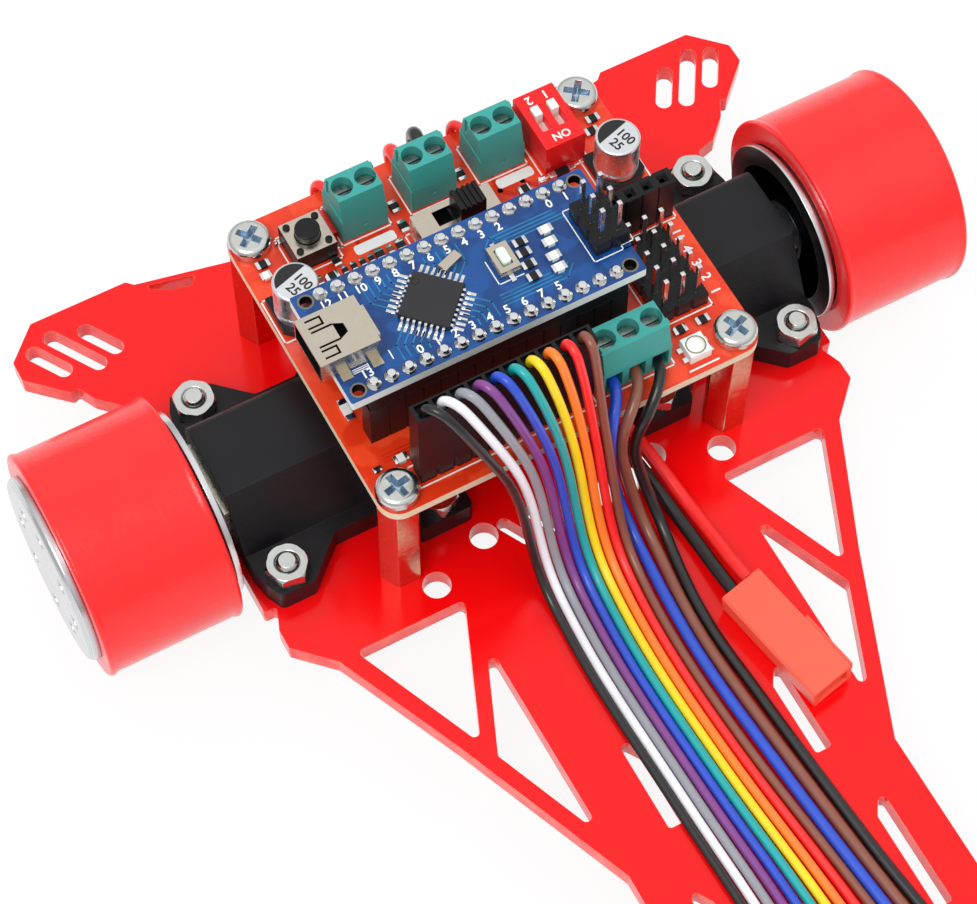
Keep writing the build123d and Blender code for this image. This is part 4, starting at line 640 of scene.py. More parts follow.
def modify(piece: Piece, kind: str, **settings: object) -> Piece:
    """Adds one modifier and applies it.

    Args:
        piece: The piece to change.
        kind: The modifier's type.
        settings: The modifier's values by name.

    Returns:
        The piece.
    """
    select_only(piece)
    modifier = piece.modifiers.new(kind.title(), kind)
    for name, value in settings.items():
        setattr(modifier, name, value)
    bpy.ops.object.modifier_apply(modifier=modifier.name)
    return piece


def round_edges(piece: Piece, width: float, segments: int = 2, angle: float = 35.0) -> Piece:
    """Rounds every edge sharper than an angle by a width in millimetres."""
    return modify(
        piece,
        "BEVEL",
        width=width * MM,
        segments=segments,
        limit_method="ANGLE",
        angle_limit=radians(angle),
        use_clamp_overlap=True,
        harden_normals=False,
    )


def smooth(piece: Piece, angle: float = 30.0) -> Piece:
    """Shades a piece smooth across edges flatter than an angle, with its large faces kept flat."""
    select_only(piece)
    bpy.ops.object.shade_smooth_by_angle(angle=radians(angle))
    return modify(piece, "WEIGHTED_NORMAL", mode="FACE_AREA", weight=50, keep_sharp=True)


def box(low: Point, high: Point) -> Piece:
    """Starts a block between two corners given in the robot's millimetres."""
    first, last = at(*low), at(*high)
    bpy.ops.mesh.primitive_cube_add(size=1.0, location=(first + last) / 2)
    piece = bpy.context.object
    piece.scale = last - first
    return apply_place(piece)


def block(centre: tuple[float, float], size: Point, floor: float) -> Piece:
    """Starts a block standing on a height, from its middle in plan and its three sizes."""
    (x, y), (w, d, h) = centre, size
    return box((x - w / 2, y - d / 2, floor), (x + w / 2, y + d / 2, floor + h))


def rod(
    centre: Point, radius: float, length: float, sides: int = 24, turn: Point = (0.0, 0.0, 0.0)
) -> Piece:
    """Starts a round bar.

    Args:
        centre: Its middle in the robot's millimetres.
        radius: Its radius in millimetres.
        length: Its length in millimetres.
        sides: How many flat sides stand for its round one.
        turn: How it is turned from upright, in degrees about each axis.

    Returns:
        The new piece.
    """
    bpy.ops.mesh.primitive_cylinder_add(
        vertices=sides,
        radius=radius * MM,
        depth=length * MM,
        location=at(*centre),
        rotation=[radians(angle) for angle in turn],
    )
    return apply_place(bpy.context.object)


def lathed(profile: Sequence[tuple[float, float]], axle_z: float, sides: int = 96) -> Piece:
    """Turns a closed piece about the wheels' axle line.

    Args:
        profile: Places along X and radii, in millimetres, from one flat end to the other.
        axle_z: The height of the axle.
        sides: How many flat sides stand for its round one.

    Returns:
        The new piece.
    """
    (x, radius), *others = profile
    bpy.ops.mesh.primitive_circle_add(
        vertices=sides,
        radius=radius * MM,
        fill_type="NGON",
        location=at(x, 0.0, axle_z),
        rotation=(0.0, pi / 2, 0.0),
    )
    piece = apply_place(bpy.context.object)
    with editing(piece):
        bpy.ops.mesh.select_mode(type="EDGE")
        bpy.ops.mesh.select_all(action="SELECT")
        for next_x, next_radius in others:
            share = next_radius / radius
            bpy.ops.mesh.extrude_edges_move(TRANSFORM_OT_translate={"value": ((next_x - x) * MM, 0.0, 0.0)})
            bpy.ops.transform.resize(value=(1.0, share, share), center_override=at(next_x, 0.0, axle_z))
            x, radius = next_x, next_radius
        bpy.ops.mesh.edge_face_add()
        bpy.ops.mesh.select_all(action="SELECT")
        bpy.ops.mesh.normals_make_consistent(inside=False)
    return piece


def turned_about(piece: Piece, centre: Point, angle: float, axis: str = "Z") -> Piece:
    """Turns a piece's mesh about a place, by an angle in degrees."""
    middle = at(*centre)
    piece.data.transform(
        Matrix.Translation(middle) @ Matrix.Rotation(radians(angle), 4, axis) @ Matrix.Translation(-middle)
    )
    return piece


def copied(piece: Piece, shift: Point) -> Piece:
    """Copies a piece with a mesh of its own and moves it by millimetres."""
    twin = piece.copy()
    twin.data = piece.data.copy()
    bpy.context.scene.collection.objects.link(twin)
    twin.data.transform(Matrix.Translation(Vector(shift) * MM))
    return twin


def mirrored(piece: Piece) -> Piece:
    """Copies a piece to the other side of the robot's middle plane."""
    twin = copied(piece, (0.0, 0.0, 0.0))
    twin.data.transform(Matrix.Scale(-1, 4, Vector((1, 0, 0))))
    with editing(twin):
        bpy.ops.mesh.select_all(action="SELECT")
        bpy.ops.mesh.flip_normals()
    return twin


def joined(pieces: Sequence[Piece], name: str) -> Piece:
    """Joins pieces into one and names it."""
    select_only(*pieces)
    if len(pieces) > 1:
        bpy.ops.object.join()
    whole = bpy.context.object
    whole.name = name
    whole.data.name = name
    return whole


def carve(piece: Piece, tool: Piece) -> Piece:
    """Cuts a tool out of a piece and removes the tool."""
    modify(piece, "BOOLEAN", operation="DIFFERENCE", object=tool, solver="EXACT")
    bpy.data.objects.remove(tool)
    return piece


def dress(piece: Piece, finish: Finish, wanted: Callable[[Vector, Vector], bool] | None = None) -> Piece:
    """Gives a finish to a whole piece, or to the faces that pass a test.

    Args:
        piece: The piece to dress.
        finish: Its finish.
        wanted: Takes a face's middle in the robot's millimetres and its normal; the whole piece if none.

    Returns:
        The piece.
    """
    material = PALETTE.material(finish)
    slots = piece.data.materials
    if wanted is None:
        slots.clear()
        slots.append(material)
        return piece
    if material.name not in slots:
        slots.append(material)
    index = slots.find(material.name)
    for face in piece.data.polygons:
        if wanted(back(face.center), face.normal):
            face.material_index = index
    return piece


def merged_copy(node: str, whole_faces: bool = True) -> Piece:
    """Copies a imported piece's mesh with its corners merged.

    Args:
        node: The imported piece.
        whole_faces: Whether the triangles of a flat face are merged too.

    Returns:
        The copy.
    """
    source = frame["nodes"][node]
    piece = source.copy()
    piece.data = source.data.copy()
    bpy.context.scene.collection.objects.link(piece)
    for key in list(piece.keys()):
        del piece[key]
    piece.parent = None
    piece.name = f"{node}_shown"
    piece.data.name = piece.name
    with editing(piece):
        bpy.ops.mesh.select_all(action="SELECT")
        bpy.ops.mesh.remove_doubles(threshold=0.002 * MM)
        if whole_faces:
            bpy.ops.mesh.dissolve_limited(angle_limit=radians(0.5))
        bpy.ops.mesh.customdata_custom_splitnormals_clear()
    return piece


def redrawn(
    node: str, width: float, finish: Finish, segments: int = 2, angle: float = 35.0, whole_faces: bool = True
) -> Piece:
    """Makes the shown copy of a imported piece, with its hard edges rounded.

    Args:
        node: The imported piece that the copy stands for.
        width: Of the rounded edges in millimetres.
        finish: The finish of the whole piece.
        segments: Of the rounding.
        angle: The flattest edge that is rounded, in degrees.
        whole_faces: Whether the triangles of a flat face are merged first.

    Returns:
        The copy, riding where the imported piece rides.
    """
    piece = merged_copy(node, whole_faces)
    round_edges(piece, width, segments, angle)
    smooth(piece)
    dress(piece, finish)
    place(piece, body_of(frame["nodes"][node])[0], node)
    return piece


def place(piece: Piece, body: str, *stands_for: str) -> Piece:
    """Lets a finished piece ride on a body, and hides what it stands for."""
    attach(piece, body)
    if stands_for:
        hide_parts(*stands_for)
    LOG.info("%s: %d faces on %s", piece.name, len(getattr(piece.data, "polygons", [])), body)
    return piece


def sideways(middle: Vector, normal: Vector) -> bool:
    """Tells whether a face stands upright."""
    return abs(normal.z) < 0.4


# ------------------------------------------------------------------ print and solder
def thickened(piece: Piece, thickness: float) -> Piece:
    """Extrudes a flat piece upwards into a closed slab of a thickness in millimetres."""
    with editing(piece):
        bpy.ops.mesh.select_mode(type="FACE")
        bpy.ops.mesh.select_all(action="SELECT")
        bpy.ops.mesh.extrude_region_move(TRANSFORM_OT_translate={"value": (0.0, 0.0, thickness * MM)})
        bpy.ops.mesh.select_all(action="SELECT")
        bpy.ops.mesh.normals_make_consistent(inside=False)
    return piece


def strip(
    first: Sequence[float], last: Sequence[float], width: float, floor: float, thickness: float
) -> Piece:
    """Lays a flat strip on a height.

    Args:
        first: Where its middle line starts, in the robot's millimetres.
        last: Where its middle line ends.
        width: Its width in millimetres.
        floor: The height that it lies on.
        thickness: Its thickness in millimetres.

    Returns:
        The strip, half its width longer at both ends so that corners close.
    """
    (x0, y0), (x1, y1) = first, last
    bpy.ops.mesh.primitive_plane_add(
        size=1.0,
        location=at((x0 + x1) / 2, (y0 + y1) / 2, floor),
        rotation=(0.0, 0.0, atan2(y1 - y0, x1 - x0)),
    )
    piece = bpy.context.object
    piece.scale = ((hypot(x1 - x0, y1 - y0) + width) * MM, width * MM, 1.0)
    return thickened(apply_place(piece), thickness)


def polyline(places: Sequence[Sequence[float]], width: float, floor: float, thickness: float) -> list[Piece]:
    """Lays strips along a line of places."""
    return [strip(a, b, width, floor, thickness) for a, b in zip(places, places[1:])]


def rectangle(
    centre: Sequence[float], size: Sequence[float], floor: float, width: float = 0.22
) -> list[Piece]:
    """Prints the outline of a rectangle in ink."""
    (x, y), (w, d) = centre, (size[0] / 2, size[1] / 2)
    corners = [(x - w, y - d), (x + w, y - d), (x + w, y + d), (x - w, y + d), (x - w, y - d)]
    return polyline(corners, width, floor, PAINT_T)


def pill(centre: Sequence[float], size: Sequence[float], floor: float) -> Piece:
    """Prints a filled patch with round corners."""
    bpy.ops.mesh.primitive_plane_add(size=1.0, location=at(*centre, floor))
    piece = bpy.context.object
    piece.scale = (size[0] * MM, size[1] * MM, 1.0)
    apply_place(piece)
    with editing(piece):
        bpy.ops.mesh.select_all(action="SELECT")
        bpy.ops.mesh.bevel(offset=0.3 * min(size) * MM, segments=5, affect="VERTICES")
    return thickened(piece, PAINT_T)


def ring(centre: Sequence[float], radius: float, width: float, floor: float, thickness: float) -> Piece:
    """Lays a flat ring on a height."""
    bpy.ops.mesh.primitive_circle_add(
        vertices=32, radius=radius * MM, fill_type="NGON", location=at(*centre, floor)
    )
    piece = apply_place(bpy.context.object)
    with editing(piece):
        bpy.ops.mesh.select_mode(type="FACE")
        bpy.ops.mesh.select_all(action="SELECT")
        bpy.ops.mesh.inset(thickness=width * MM)
        bpy.ops.mesh.delete(type="FACE")
    return thickened(piece, thickness)


def lettering(text: str, centre: Sequence[float], height: float, floor: float, turn: float = 0.0) -> Piece:
    """Prints plain figures.

    Args:
        text: The figures.
        centre: Their middle in the robot's millimetres.
        height: The size of the type in millimetres.
        floor: The height of the surface that they are printed on.
        turn: The angle of the line of type, in degrees from the robot's X.

    Returns:
        The figures as a mesh.
    """
    bpy.ops.object.text_add(location=at(*centre, floor + PAINT_T / 2), rotation=(0.0, 0.0, radians(turn)))
    piece = bpy.context.object
    piece.data.body = text
    piece.data.size = height * MM
    piece.data.align_x = "CENTER"
    piece.data.align_y = "CENTER"
    piece.data.offset = 0.018 * height * MM
    piece.data.resolution_u = 3
    piece.data.extrude = PAINT_T / 2 * MM
    select_only(piece)
    bpy.ops.object.convert(target="MESH")
    return apply_place(bpy.context.object)


def printed(pieces: Sequence[Piece], name: str, finish: Finish, body: str = CHASSIS) -> Piece:
    """Joins strokes into one printed piece and lets it ride on a body."""
    whole = joined(pieces, name)
    dress(whole, finish)
    return place(whole, body)


def solder_dome(centre: Sequence[float], radius: float, height: float, floor: float) -> Piece:
    """Models the drop of solder round a pin, drawn up to a small tip.

    Args:
        centre: The pin's place in the robot's millimetres.
        radius: Of the drop's foot in millimetres.
        height: Of the drop below its tip.
        floor: The height of the board's face.

    Returns:
        The drop.
    """
    bpy.ops.mesh.primitive_uv_sphere_add(
        segments=16, ring_count=10, radius=radius * MM, location=at(*centre, floor)
    )
    piece = bpy.context.object
    piece.scale = (1.0, 1.0, height / radius)
    apply_place(piece)
    with editing(piece):
        bpy.ops.mesh.select_all(action="SELECT")
        bpy.ops.mesh.bisect(
            plane_co=at(*centre, floor + 0.01), plane_no=(0.0, 0.0, 1.0), use_fill=True, clear_inner=True
        )
    select_tip = back(at(*centre, floor)).z + 0.93 * height
    with editing(piece):
        bpy.ops.mesh.select_mode(type="VERT")
        bpy.ops.object.mode_set(mode="OBJECT")
        for vertex in piece.data.vertices:
            vertex.select = back(vertex.co).z > select_tip
        bpy.ops.object.mode_set(mode="EDIT")
        bpy.ops.transform.resize(value=(1.6, 1.6, 1.0), center_override=at(*centre, floor))
        bpy.ops.transform.translate(value=(0.0, 0.0, 0.3 * height * MM))
    return smooth(piece, 60.0)


# ------------------------------------------------------------------ wiring
class WireEnd(Enum):
    """What the far end of a wire goes into."""

    OBJECT = "object"
    CONNECTOR = "connector"


@dataclass
class Wire:
    """One insulated wire on a smooth route."""

    name: str
    points: Sequence[Point]
    radius: float
    finish: Insulation
    stands_for: Sequence[str] = ()
    end: WireEnd = WireEnd.OBJECT
    with_pieces: Sequence[Piece] = ()

    def route_length(self, curve: bpy.types.Curve) -> float:
        """Measures the smooth route in metres, before it has any thickness."""
        bare = bpy.data.objects.new("route", curve.copy())
        bare.data.bevel_depth = 0.0
        bpy.context.scene.collection.objects.link(bare)
        bpy.context.view_layer.update()
        mesh = bpy.data.meshes.new_from_object(bare.evaluated_get(bpy.context.evaluated_depsgraph_get()))
        corners = [vertex.co.copy() for vertex in mesh.vertices]
        bpy.data.objects.remove(bare)
        return sum((b - a).length for a, b in zip(corners, corners[1:]))

    def build(self) -> Piece:
        """Returns:
            The wire's curve, riding on the chassis.
        """
        curve = bpy.data.curves.new(self.name, "CURVE")
        curve.dimensions = "3D"
        curve.resolution_u = 8
        curve.bevel_depth = self.radius * MM
        curve.bevel_resolution = 4
        curve.use_fill_caps = True
        spline = curve.splines.new("NURBS")
        spline.points.add(len(self.points) - 1)
        for point, (x, y, z) in zip(spline.points, self.points):
            point.co = (*at(x, y, z), 1.0)
        spline.order_u = 3
        spline.use_endpoint_u = True
        spline.use_smooth = True
        piece = bpy.data.objects.new(f"{self.name}_shown", curve)
        bpy.context.scene.collection.objects.link(piece)
        dress(piece, self.finish)
        place(piece, CHASSIS, *self.stands_for)
        self.route_length(curve)
        return piece


RIBBON_STATIONS = (
    ((-20.90, -18.60, 48.45), (1.96, -18.60, 48.45)),
    ((-20.90, -18.62, 49.30), (1.96, -18.62, 49.30)),
    ((-20.60, -19.15, 50.05), (1.96, -19.15, 50.05)),
    ((-20.05, -19.97, 50.42), (1.97, -19.97, 50.42)),
    ((-19.40, -20.85, 50.15), (1.98, -20.80, 50.20)),
    ((-18.75, -21.60, 49.40), (1.99, -21.45, 49.50)),
    ((-17.60, -23.10, 47.30), (2.00, -22.05, 47.70)),
    ((-15.70, -25.10, 43.30), (2.05, -22.95, 44.30)),
    ((-13.10, -26.60, 36.70), (2.15, -24.30, 38.00)),
    ((-11.40, -27.20, 29.00), (2.35, -26.10, 31.00)),
    ((-10.60, -28.00, 21.50), (2.60, -27.70, 23.40)),
    ((-10.30, -29.90, 15.60), (2.75, -29.60, 17.20)),
    ((-10.30, -33.20, 12.45), (2.65, -32.40, 13.30)),
    ((-10.55, -38.20, 11.85), (2.30, -36.80, 11.85)),
    ((-10.85, -45.50, 11.85), (1.75, -43.50, 11.85)),
    ((-10.70, -53.50, 11.85), (1.60, -51.50, 11.85)),
    ((-10.35, -62.50, 11.85), (1.95, -60.50, 11.85)),
    ((-10.10, -72.50, 11.85), (2.70, -70.50, 11.85)),
    ((-9.60, -84.00, 11.85), (4.05, -82.50, 11.85)),
    ((-9.70, -96.50, 11.85), (5.30, -95.50, 11.85)),
    ((-10.90, -107.00, 12.60), (6.30, -107.00, 12.60)),
    ((-12.60, -116.00, 14.90), (7.05, -116.00, 14.90)),
    ((-14.10, -124.00, 19.10), (7.50, -124.00, 19.10)),
    ((-15.00, -129.60, 23.60), (7.61, -129.60, 23.60)),
    ((-15.20, -132.90, 27.35), (7.62, -132.90, 27.35)),
    ((-15.22, -135.28, 27.97), (7.63, -135.28, 27.97)),
    ((-15.23, -137.59, 27.12), (7.63, -137.59, 27.12)),
    ((-15.23, -139.00, 25.10), (7.63, -139.00, 25.10)),
    ((-15.23, -139.00, 22.65), (7.63, -139.00, 22.65)),
)

# Three single wires run from the front screw terminal along the ribbon to the sensor board.
TERMINAL_WIRES = {
    "terminal_wire_blue": (
        (6.95, -17.90, 34.50), (6.75, -19.80, 34.65), (5.90, -21.60, 34.55), (4.60, -23.30, 33.90),
        (3.70, -24.40, 32.20), (3.45, -24.75, 29.00), (3.45, -25.10, 24.50), (3.90, -26.00, 19.00),
        (4.50, -28.00, 14.50), (4.55, -31.00, 12.20), (4.20, -35.50, 12.00), (3.65, -42.00, 12.00),
        (3.35, -49.50, 12.00), (3.60, -57.50, 12.00), (4.25, -66.50, 12.00), (5.05, -77.00, 12.00),
        (6.10, -88.00, 12.00), (7.10, -98.00, 12.05), (8.40, -108.00, 12.40), (9.60, -117.50, 13.30),
        (10.40, -126.00, 14.50), (10.60, -132.50, 15.00), (10.60, -136.60, 13.90), (10.60, -139.20, 11.30),
        (10.60, -139.90, 9.10), (10.60, -139.90, 7.10),
    ),
    "terminal_wire_brown": (
        (10.35, -17.90, 34.50), (10.15, -19.80, 34.65), (9.20, -21.60, 34.60), (7.60, -23.30, 34.20),
        (5.95, -24.50, 32.70), (5.10, -25.00, 29.80), (5.05, -25.20, 25.80), (5.55, -26.40, 20.80),
        (6.20, -28.00, 16.00), (6.50, -30.60, 12.80), (6.15, -35.50, 12.00), (5.35, -42.00, 12.00),
        (5.05, -49.50, 12.00), (5.40, -57.50, 12.00), (6.05, -66.50, 12.00), (6.90, -77.00, 12.00),
        (7.85, -88.00, 12.00), (9.00, -98.00, 12.05), (10.50, -108.00, 12.40), (11.90, -117.50, 13.30),
        (12.80, -126.00, 14.50), (13.10, -132.50, 15.00), (13.10, -136.60, 13.90), (13.10, -139.20, 11.30),
        (13.10, -139.90, 9.10), (13.10, -139.90, 7.10),
    ),
    "terminal_wire_black": (
        (13.80, -17.90, 34.50), (13.55, -19.80, 34.75), (12.60, -21.60, 34.75), (11.10, -23.20, 34.10),
        (9.20, -24.50, 32.20), (7.60, -24.90, 29.20), (7.15, -25.00, 25.00), (7.60, -26.20, 20.50),
        (8.25, -28.30, 16.00), (8.55, -31.20, 12.90), (7.80, -36.50, 12.00), (6.95, -43.00, 12.00),
        (6.80, -50.00, 12.00), (7.35, -57.50, 12.00), (7.90, -66.50, 12.00), (8.70, -77.00, 12.00),
        (9.60, -88.00, 12.00), (10.90, -98.00, 12.05), (12.60, -108.00, 12.40), (14.20, -117.50, 13.60),
        (15.25, -126.00, 15.00), (15.60, -132.50, 15.50), (15.60, -136.60, 14.20), (15.60, -139.20, 11.40),
        (15.60, -139.90, 9.10), (15.60, -139.90, 7.10),
    ),
}


def round_the_edge(terminal_x: float, points: Sequence[Point]) -> tuple[Point, ...]:
    """Places a wire's points, given from a rear terminal's middle and from the board's rear edge."""
    return tuple((terminal_x + dx, BOARD_REAR_Y + dy, z) for dx, dy, z in points)


# The battery lead leaves the middle rear terminal, passes under the board between the brackets and ends in a
# plug that lies on the arm.
POWER_TERMINAL_X = -0.1
MOTOR_TERMINAL_XS = (-10.7, 10.5)
BATTERY_WIRES = {
    "battery_wire_black": (
        *round_the_edge(
            POWER_TERMINAL_X,
            (
                (1.75, -4.75, 34.90), (1.75, -2.75, 35.10), (1.85, -0.95, 35.85), (2.05, 0.65, 35.55),
                (2.25, 1.65, 33.90), (2.35, 1.75, 31.60), (2.30, 1.55, 28.60), (1.70, -0.75, 25.60),
            ),
        ),
        (1.00, 21.50, 24.00), (1.60, 15.00, 22.60), (3.20, 8.50, 20.60), (4.80, 2.00, 18.90),
        (6.90, -7.50, 16.90), (8.90, -16.00, 15.20), (10.40, -23.50, 13.40), (11.10, -30.00, 12.50),
        (11.50, -36.50, 12.60), (11.60, -42.00, 13.15), (11.85, -45.30, 13.55),
    ),
    "battery_wire_red": (
        *round_the_edge(
            POWER_TERMINAL_X,
            (
                (-1.75, -4.75, 34.30), (-1.75, -2.45, 34.33), (-1.70, 1.10, 34.36), (-1.50, 1.12, 30.60),
                (-1.20, 1.20, 27.40), (-0.70, -0.45, 23.60),
            ),
        ),
        (1.00, 21.80, 20.60), (3.90, 15.60, 19.40), (5.90, 9.50, 18.90), (7.50, 2.00, 18.20),
        (9.30, -7.50, 16.90), (11.10, -16.00, 15.20), (12.60, -23.50, 13.50), (13.30, -30.00, 12.70),
        (13.80, -36.50, 13.00), (13.90, -41.50, 13.75), (14.25, -44.70, 14.20),
    ),
}

# Each motor's leads pass under the board and come up round its rear edge into the terminal.
MOTOR_RED_BEND = (
    (-2.75, -6.35, 25.20), (-2.90, -0.50, 28.00), (-2.90, 1.00, 31.00), (-2.65, 0.85, 33.60),
    (-1.95, -0.95, 34.30), (-1.75, -3.35, 34.35),
)
MOTOR_BLACK_BEND = (
    (1.60, -7.55, 23.20), (1.75, -1.35, 26.50), (1.75, 0.95, 29.30), (1.75, 0.95, 32.60),
    (1.75, -0.75, 34.20), (1.75, -3.35, 34.40),
)
MOTOR_LEADS = {
    "motor_lead_left_red": (
        (-17.90, -3.60, 16.40), (-15.20, -3.30, 16.45), (-12.40, -0.60, 17.60), (-12.10, 6.00, 20.00),
        (-12.90, 14.00, 22.60), *round_the_edge(MOTOR_TERMINAL_XS[0], MOTOR_RED_BEND),
    ),
    "motor_lead_left_black": (
        (-17.90, 3.60, 16.40), (-14.90, 3.70, 16.50), (-11.30, 5.60, 18.00), (-9.60, 12.50, 20.80),
        *round_the_edge(MOTOR_TERMINAL_XS[0], MOTOR_BLACK_BEND),
    ),
    "motor_lead_right_red": (
        (17.90, -3.60, 16.40), (15.20, -3.30, 16.45), (12.00, -1.00, 17.60), (9.90, 5.60, 20.00),
        (8.60, 13.40, 22.60), *round_the_edge(MOTOR_TERMINAL_XS[1], MOTOR_RED_BEND),
    ),
    "motor_lead_right_black": (
        (17.90, 3.60, 16.40), (14.90, 3.70, 16.50), (11.60, 5.60, 18.00), (11.40, 12.50, 20.80),
        *round_the_edge(MOTOR_TERMINAL_XS[1], MOTOR_BLACK_BEND),
    ),
}


@dataclass
class Harness:
    """All wiring: the ribbon, the single wires beside it, the battery lead and the motors' leads."""

    ribbon_radius: float = 0.65
    single_radius: float = 0.8
    battery_radius: float = 1.0
    motor_radius: float = 0.7
    sleeve_place: Point = (-14.93, 21.45, 33.45)
    sleeve_length: float = 4.3
    ribbon_finishes: dict[str, Insulation] = field(
        default_factory=lambda: {
            "black": Insulation("wire_black", "131314"),
            "white": Insulation("wire_white", "E6E6EE"),
            "grey": Insulation("wire_grey", "8F9098"),
            "purple": Insulation("wire_purple", "7A3A84"),
            "blue": Insulation("wire_blue", "1F49C0"),
            "teal": Insulation("wire_teal", "07A0A0"),
            "yellow": Insulation("wire_yellow", "F8D010"),
            "orange": Insulation("wire_orange", "FA7A22"),
            "red": Insulation("wire_red", "F01F1D"),
            "brown": Insulation("wire_brown", "824A38"),
        }
    )

    def ribbon_route(self, share: float) -> list[Point]:
        """Lists the points of the ribbon wire that lies at a share of the ribbon's width."""
        return [
            tuple(a + share * (b - a) for a, b in zip(first, last)) for first, last in RIBBON_STATIONS
        ]

    def finish_for(self, name: str) -> Insulation:
        """Gives the finish of the colour that ends a wire's name."""
        return self.ribbon_finishes[name.rsplit("_", 1)[1]]

    def sleeve(self) -> Piece:
        """Builds the short red sleeve that lies on the board, open at both ends."""
        piece = rod(self.sleeve_place, self.motor_radius, self.sleeve_length, 32, (90.0, 0.0, 0.0))
        for end in (1, -1):
            with editing(piece):
                select_faces(piece, lambda middle, normal: normal.y * end > 0.9)
                bpy.ops.mesh.inset(thickness=0.22 * MM)
                bpy.ops.transform.translate(value=(0.0, -end * 1.6 * MM, 0.0))
        round_edges(piece, 0.04)
        smooth(piece)
        dress(piece, self.ribbon_finishes["red"])
        bore = self.motor_radius - 0.24
        sleeve_x, _, sleeve_z = self.sleeve_place
        # The sleeve's bore gets painted shade.
        dress(
            piece,
            CAVITY_SHADE,
            lambda middle, normal: hypot(middle.x - sleeve_x, middle.z - sleeve_z) < bore,
        )
        piece.name = "wire_sleeve"
        return place(piece, CHASSIS)

    def build(self, plug: Piece) -> None:
        """Builds every wire.

        Args:
            plug: The battery lead's plug.
        """
        count = len(self.ribbon_finishes)
        for k, (colour, finish) in enumerate(self.ribbon_finishes.items()):
            name = f"ribbon_wire_{colour}"
            Wire(name, self.ribbon_route(k / (count - 1)), self.ribbon_radius, finish, [name]).build()
        for name, points in TERMINAL_WIRES.items():
            Wire(name, points, self.single_radius, self.finish_for(name), [name]).build()
        for name, points in BATTERY_WIRES.items():
            finish = self.finish_for(name)
            Wire(name, points, self.battery_radius, finish, [name], WireEnd.CONNECTOR, [plug]).build()
        packed = ["motor_leads"]
        for name, points in MOTOR_LEADS.items():
            Wire(name, points, self.motor_radius, self.finish_for(name), packed).build()
            packed = []
        self.sleeve()


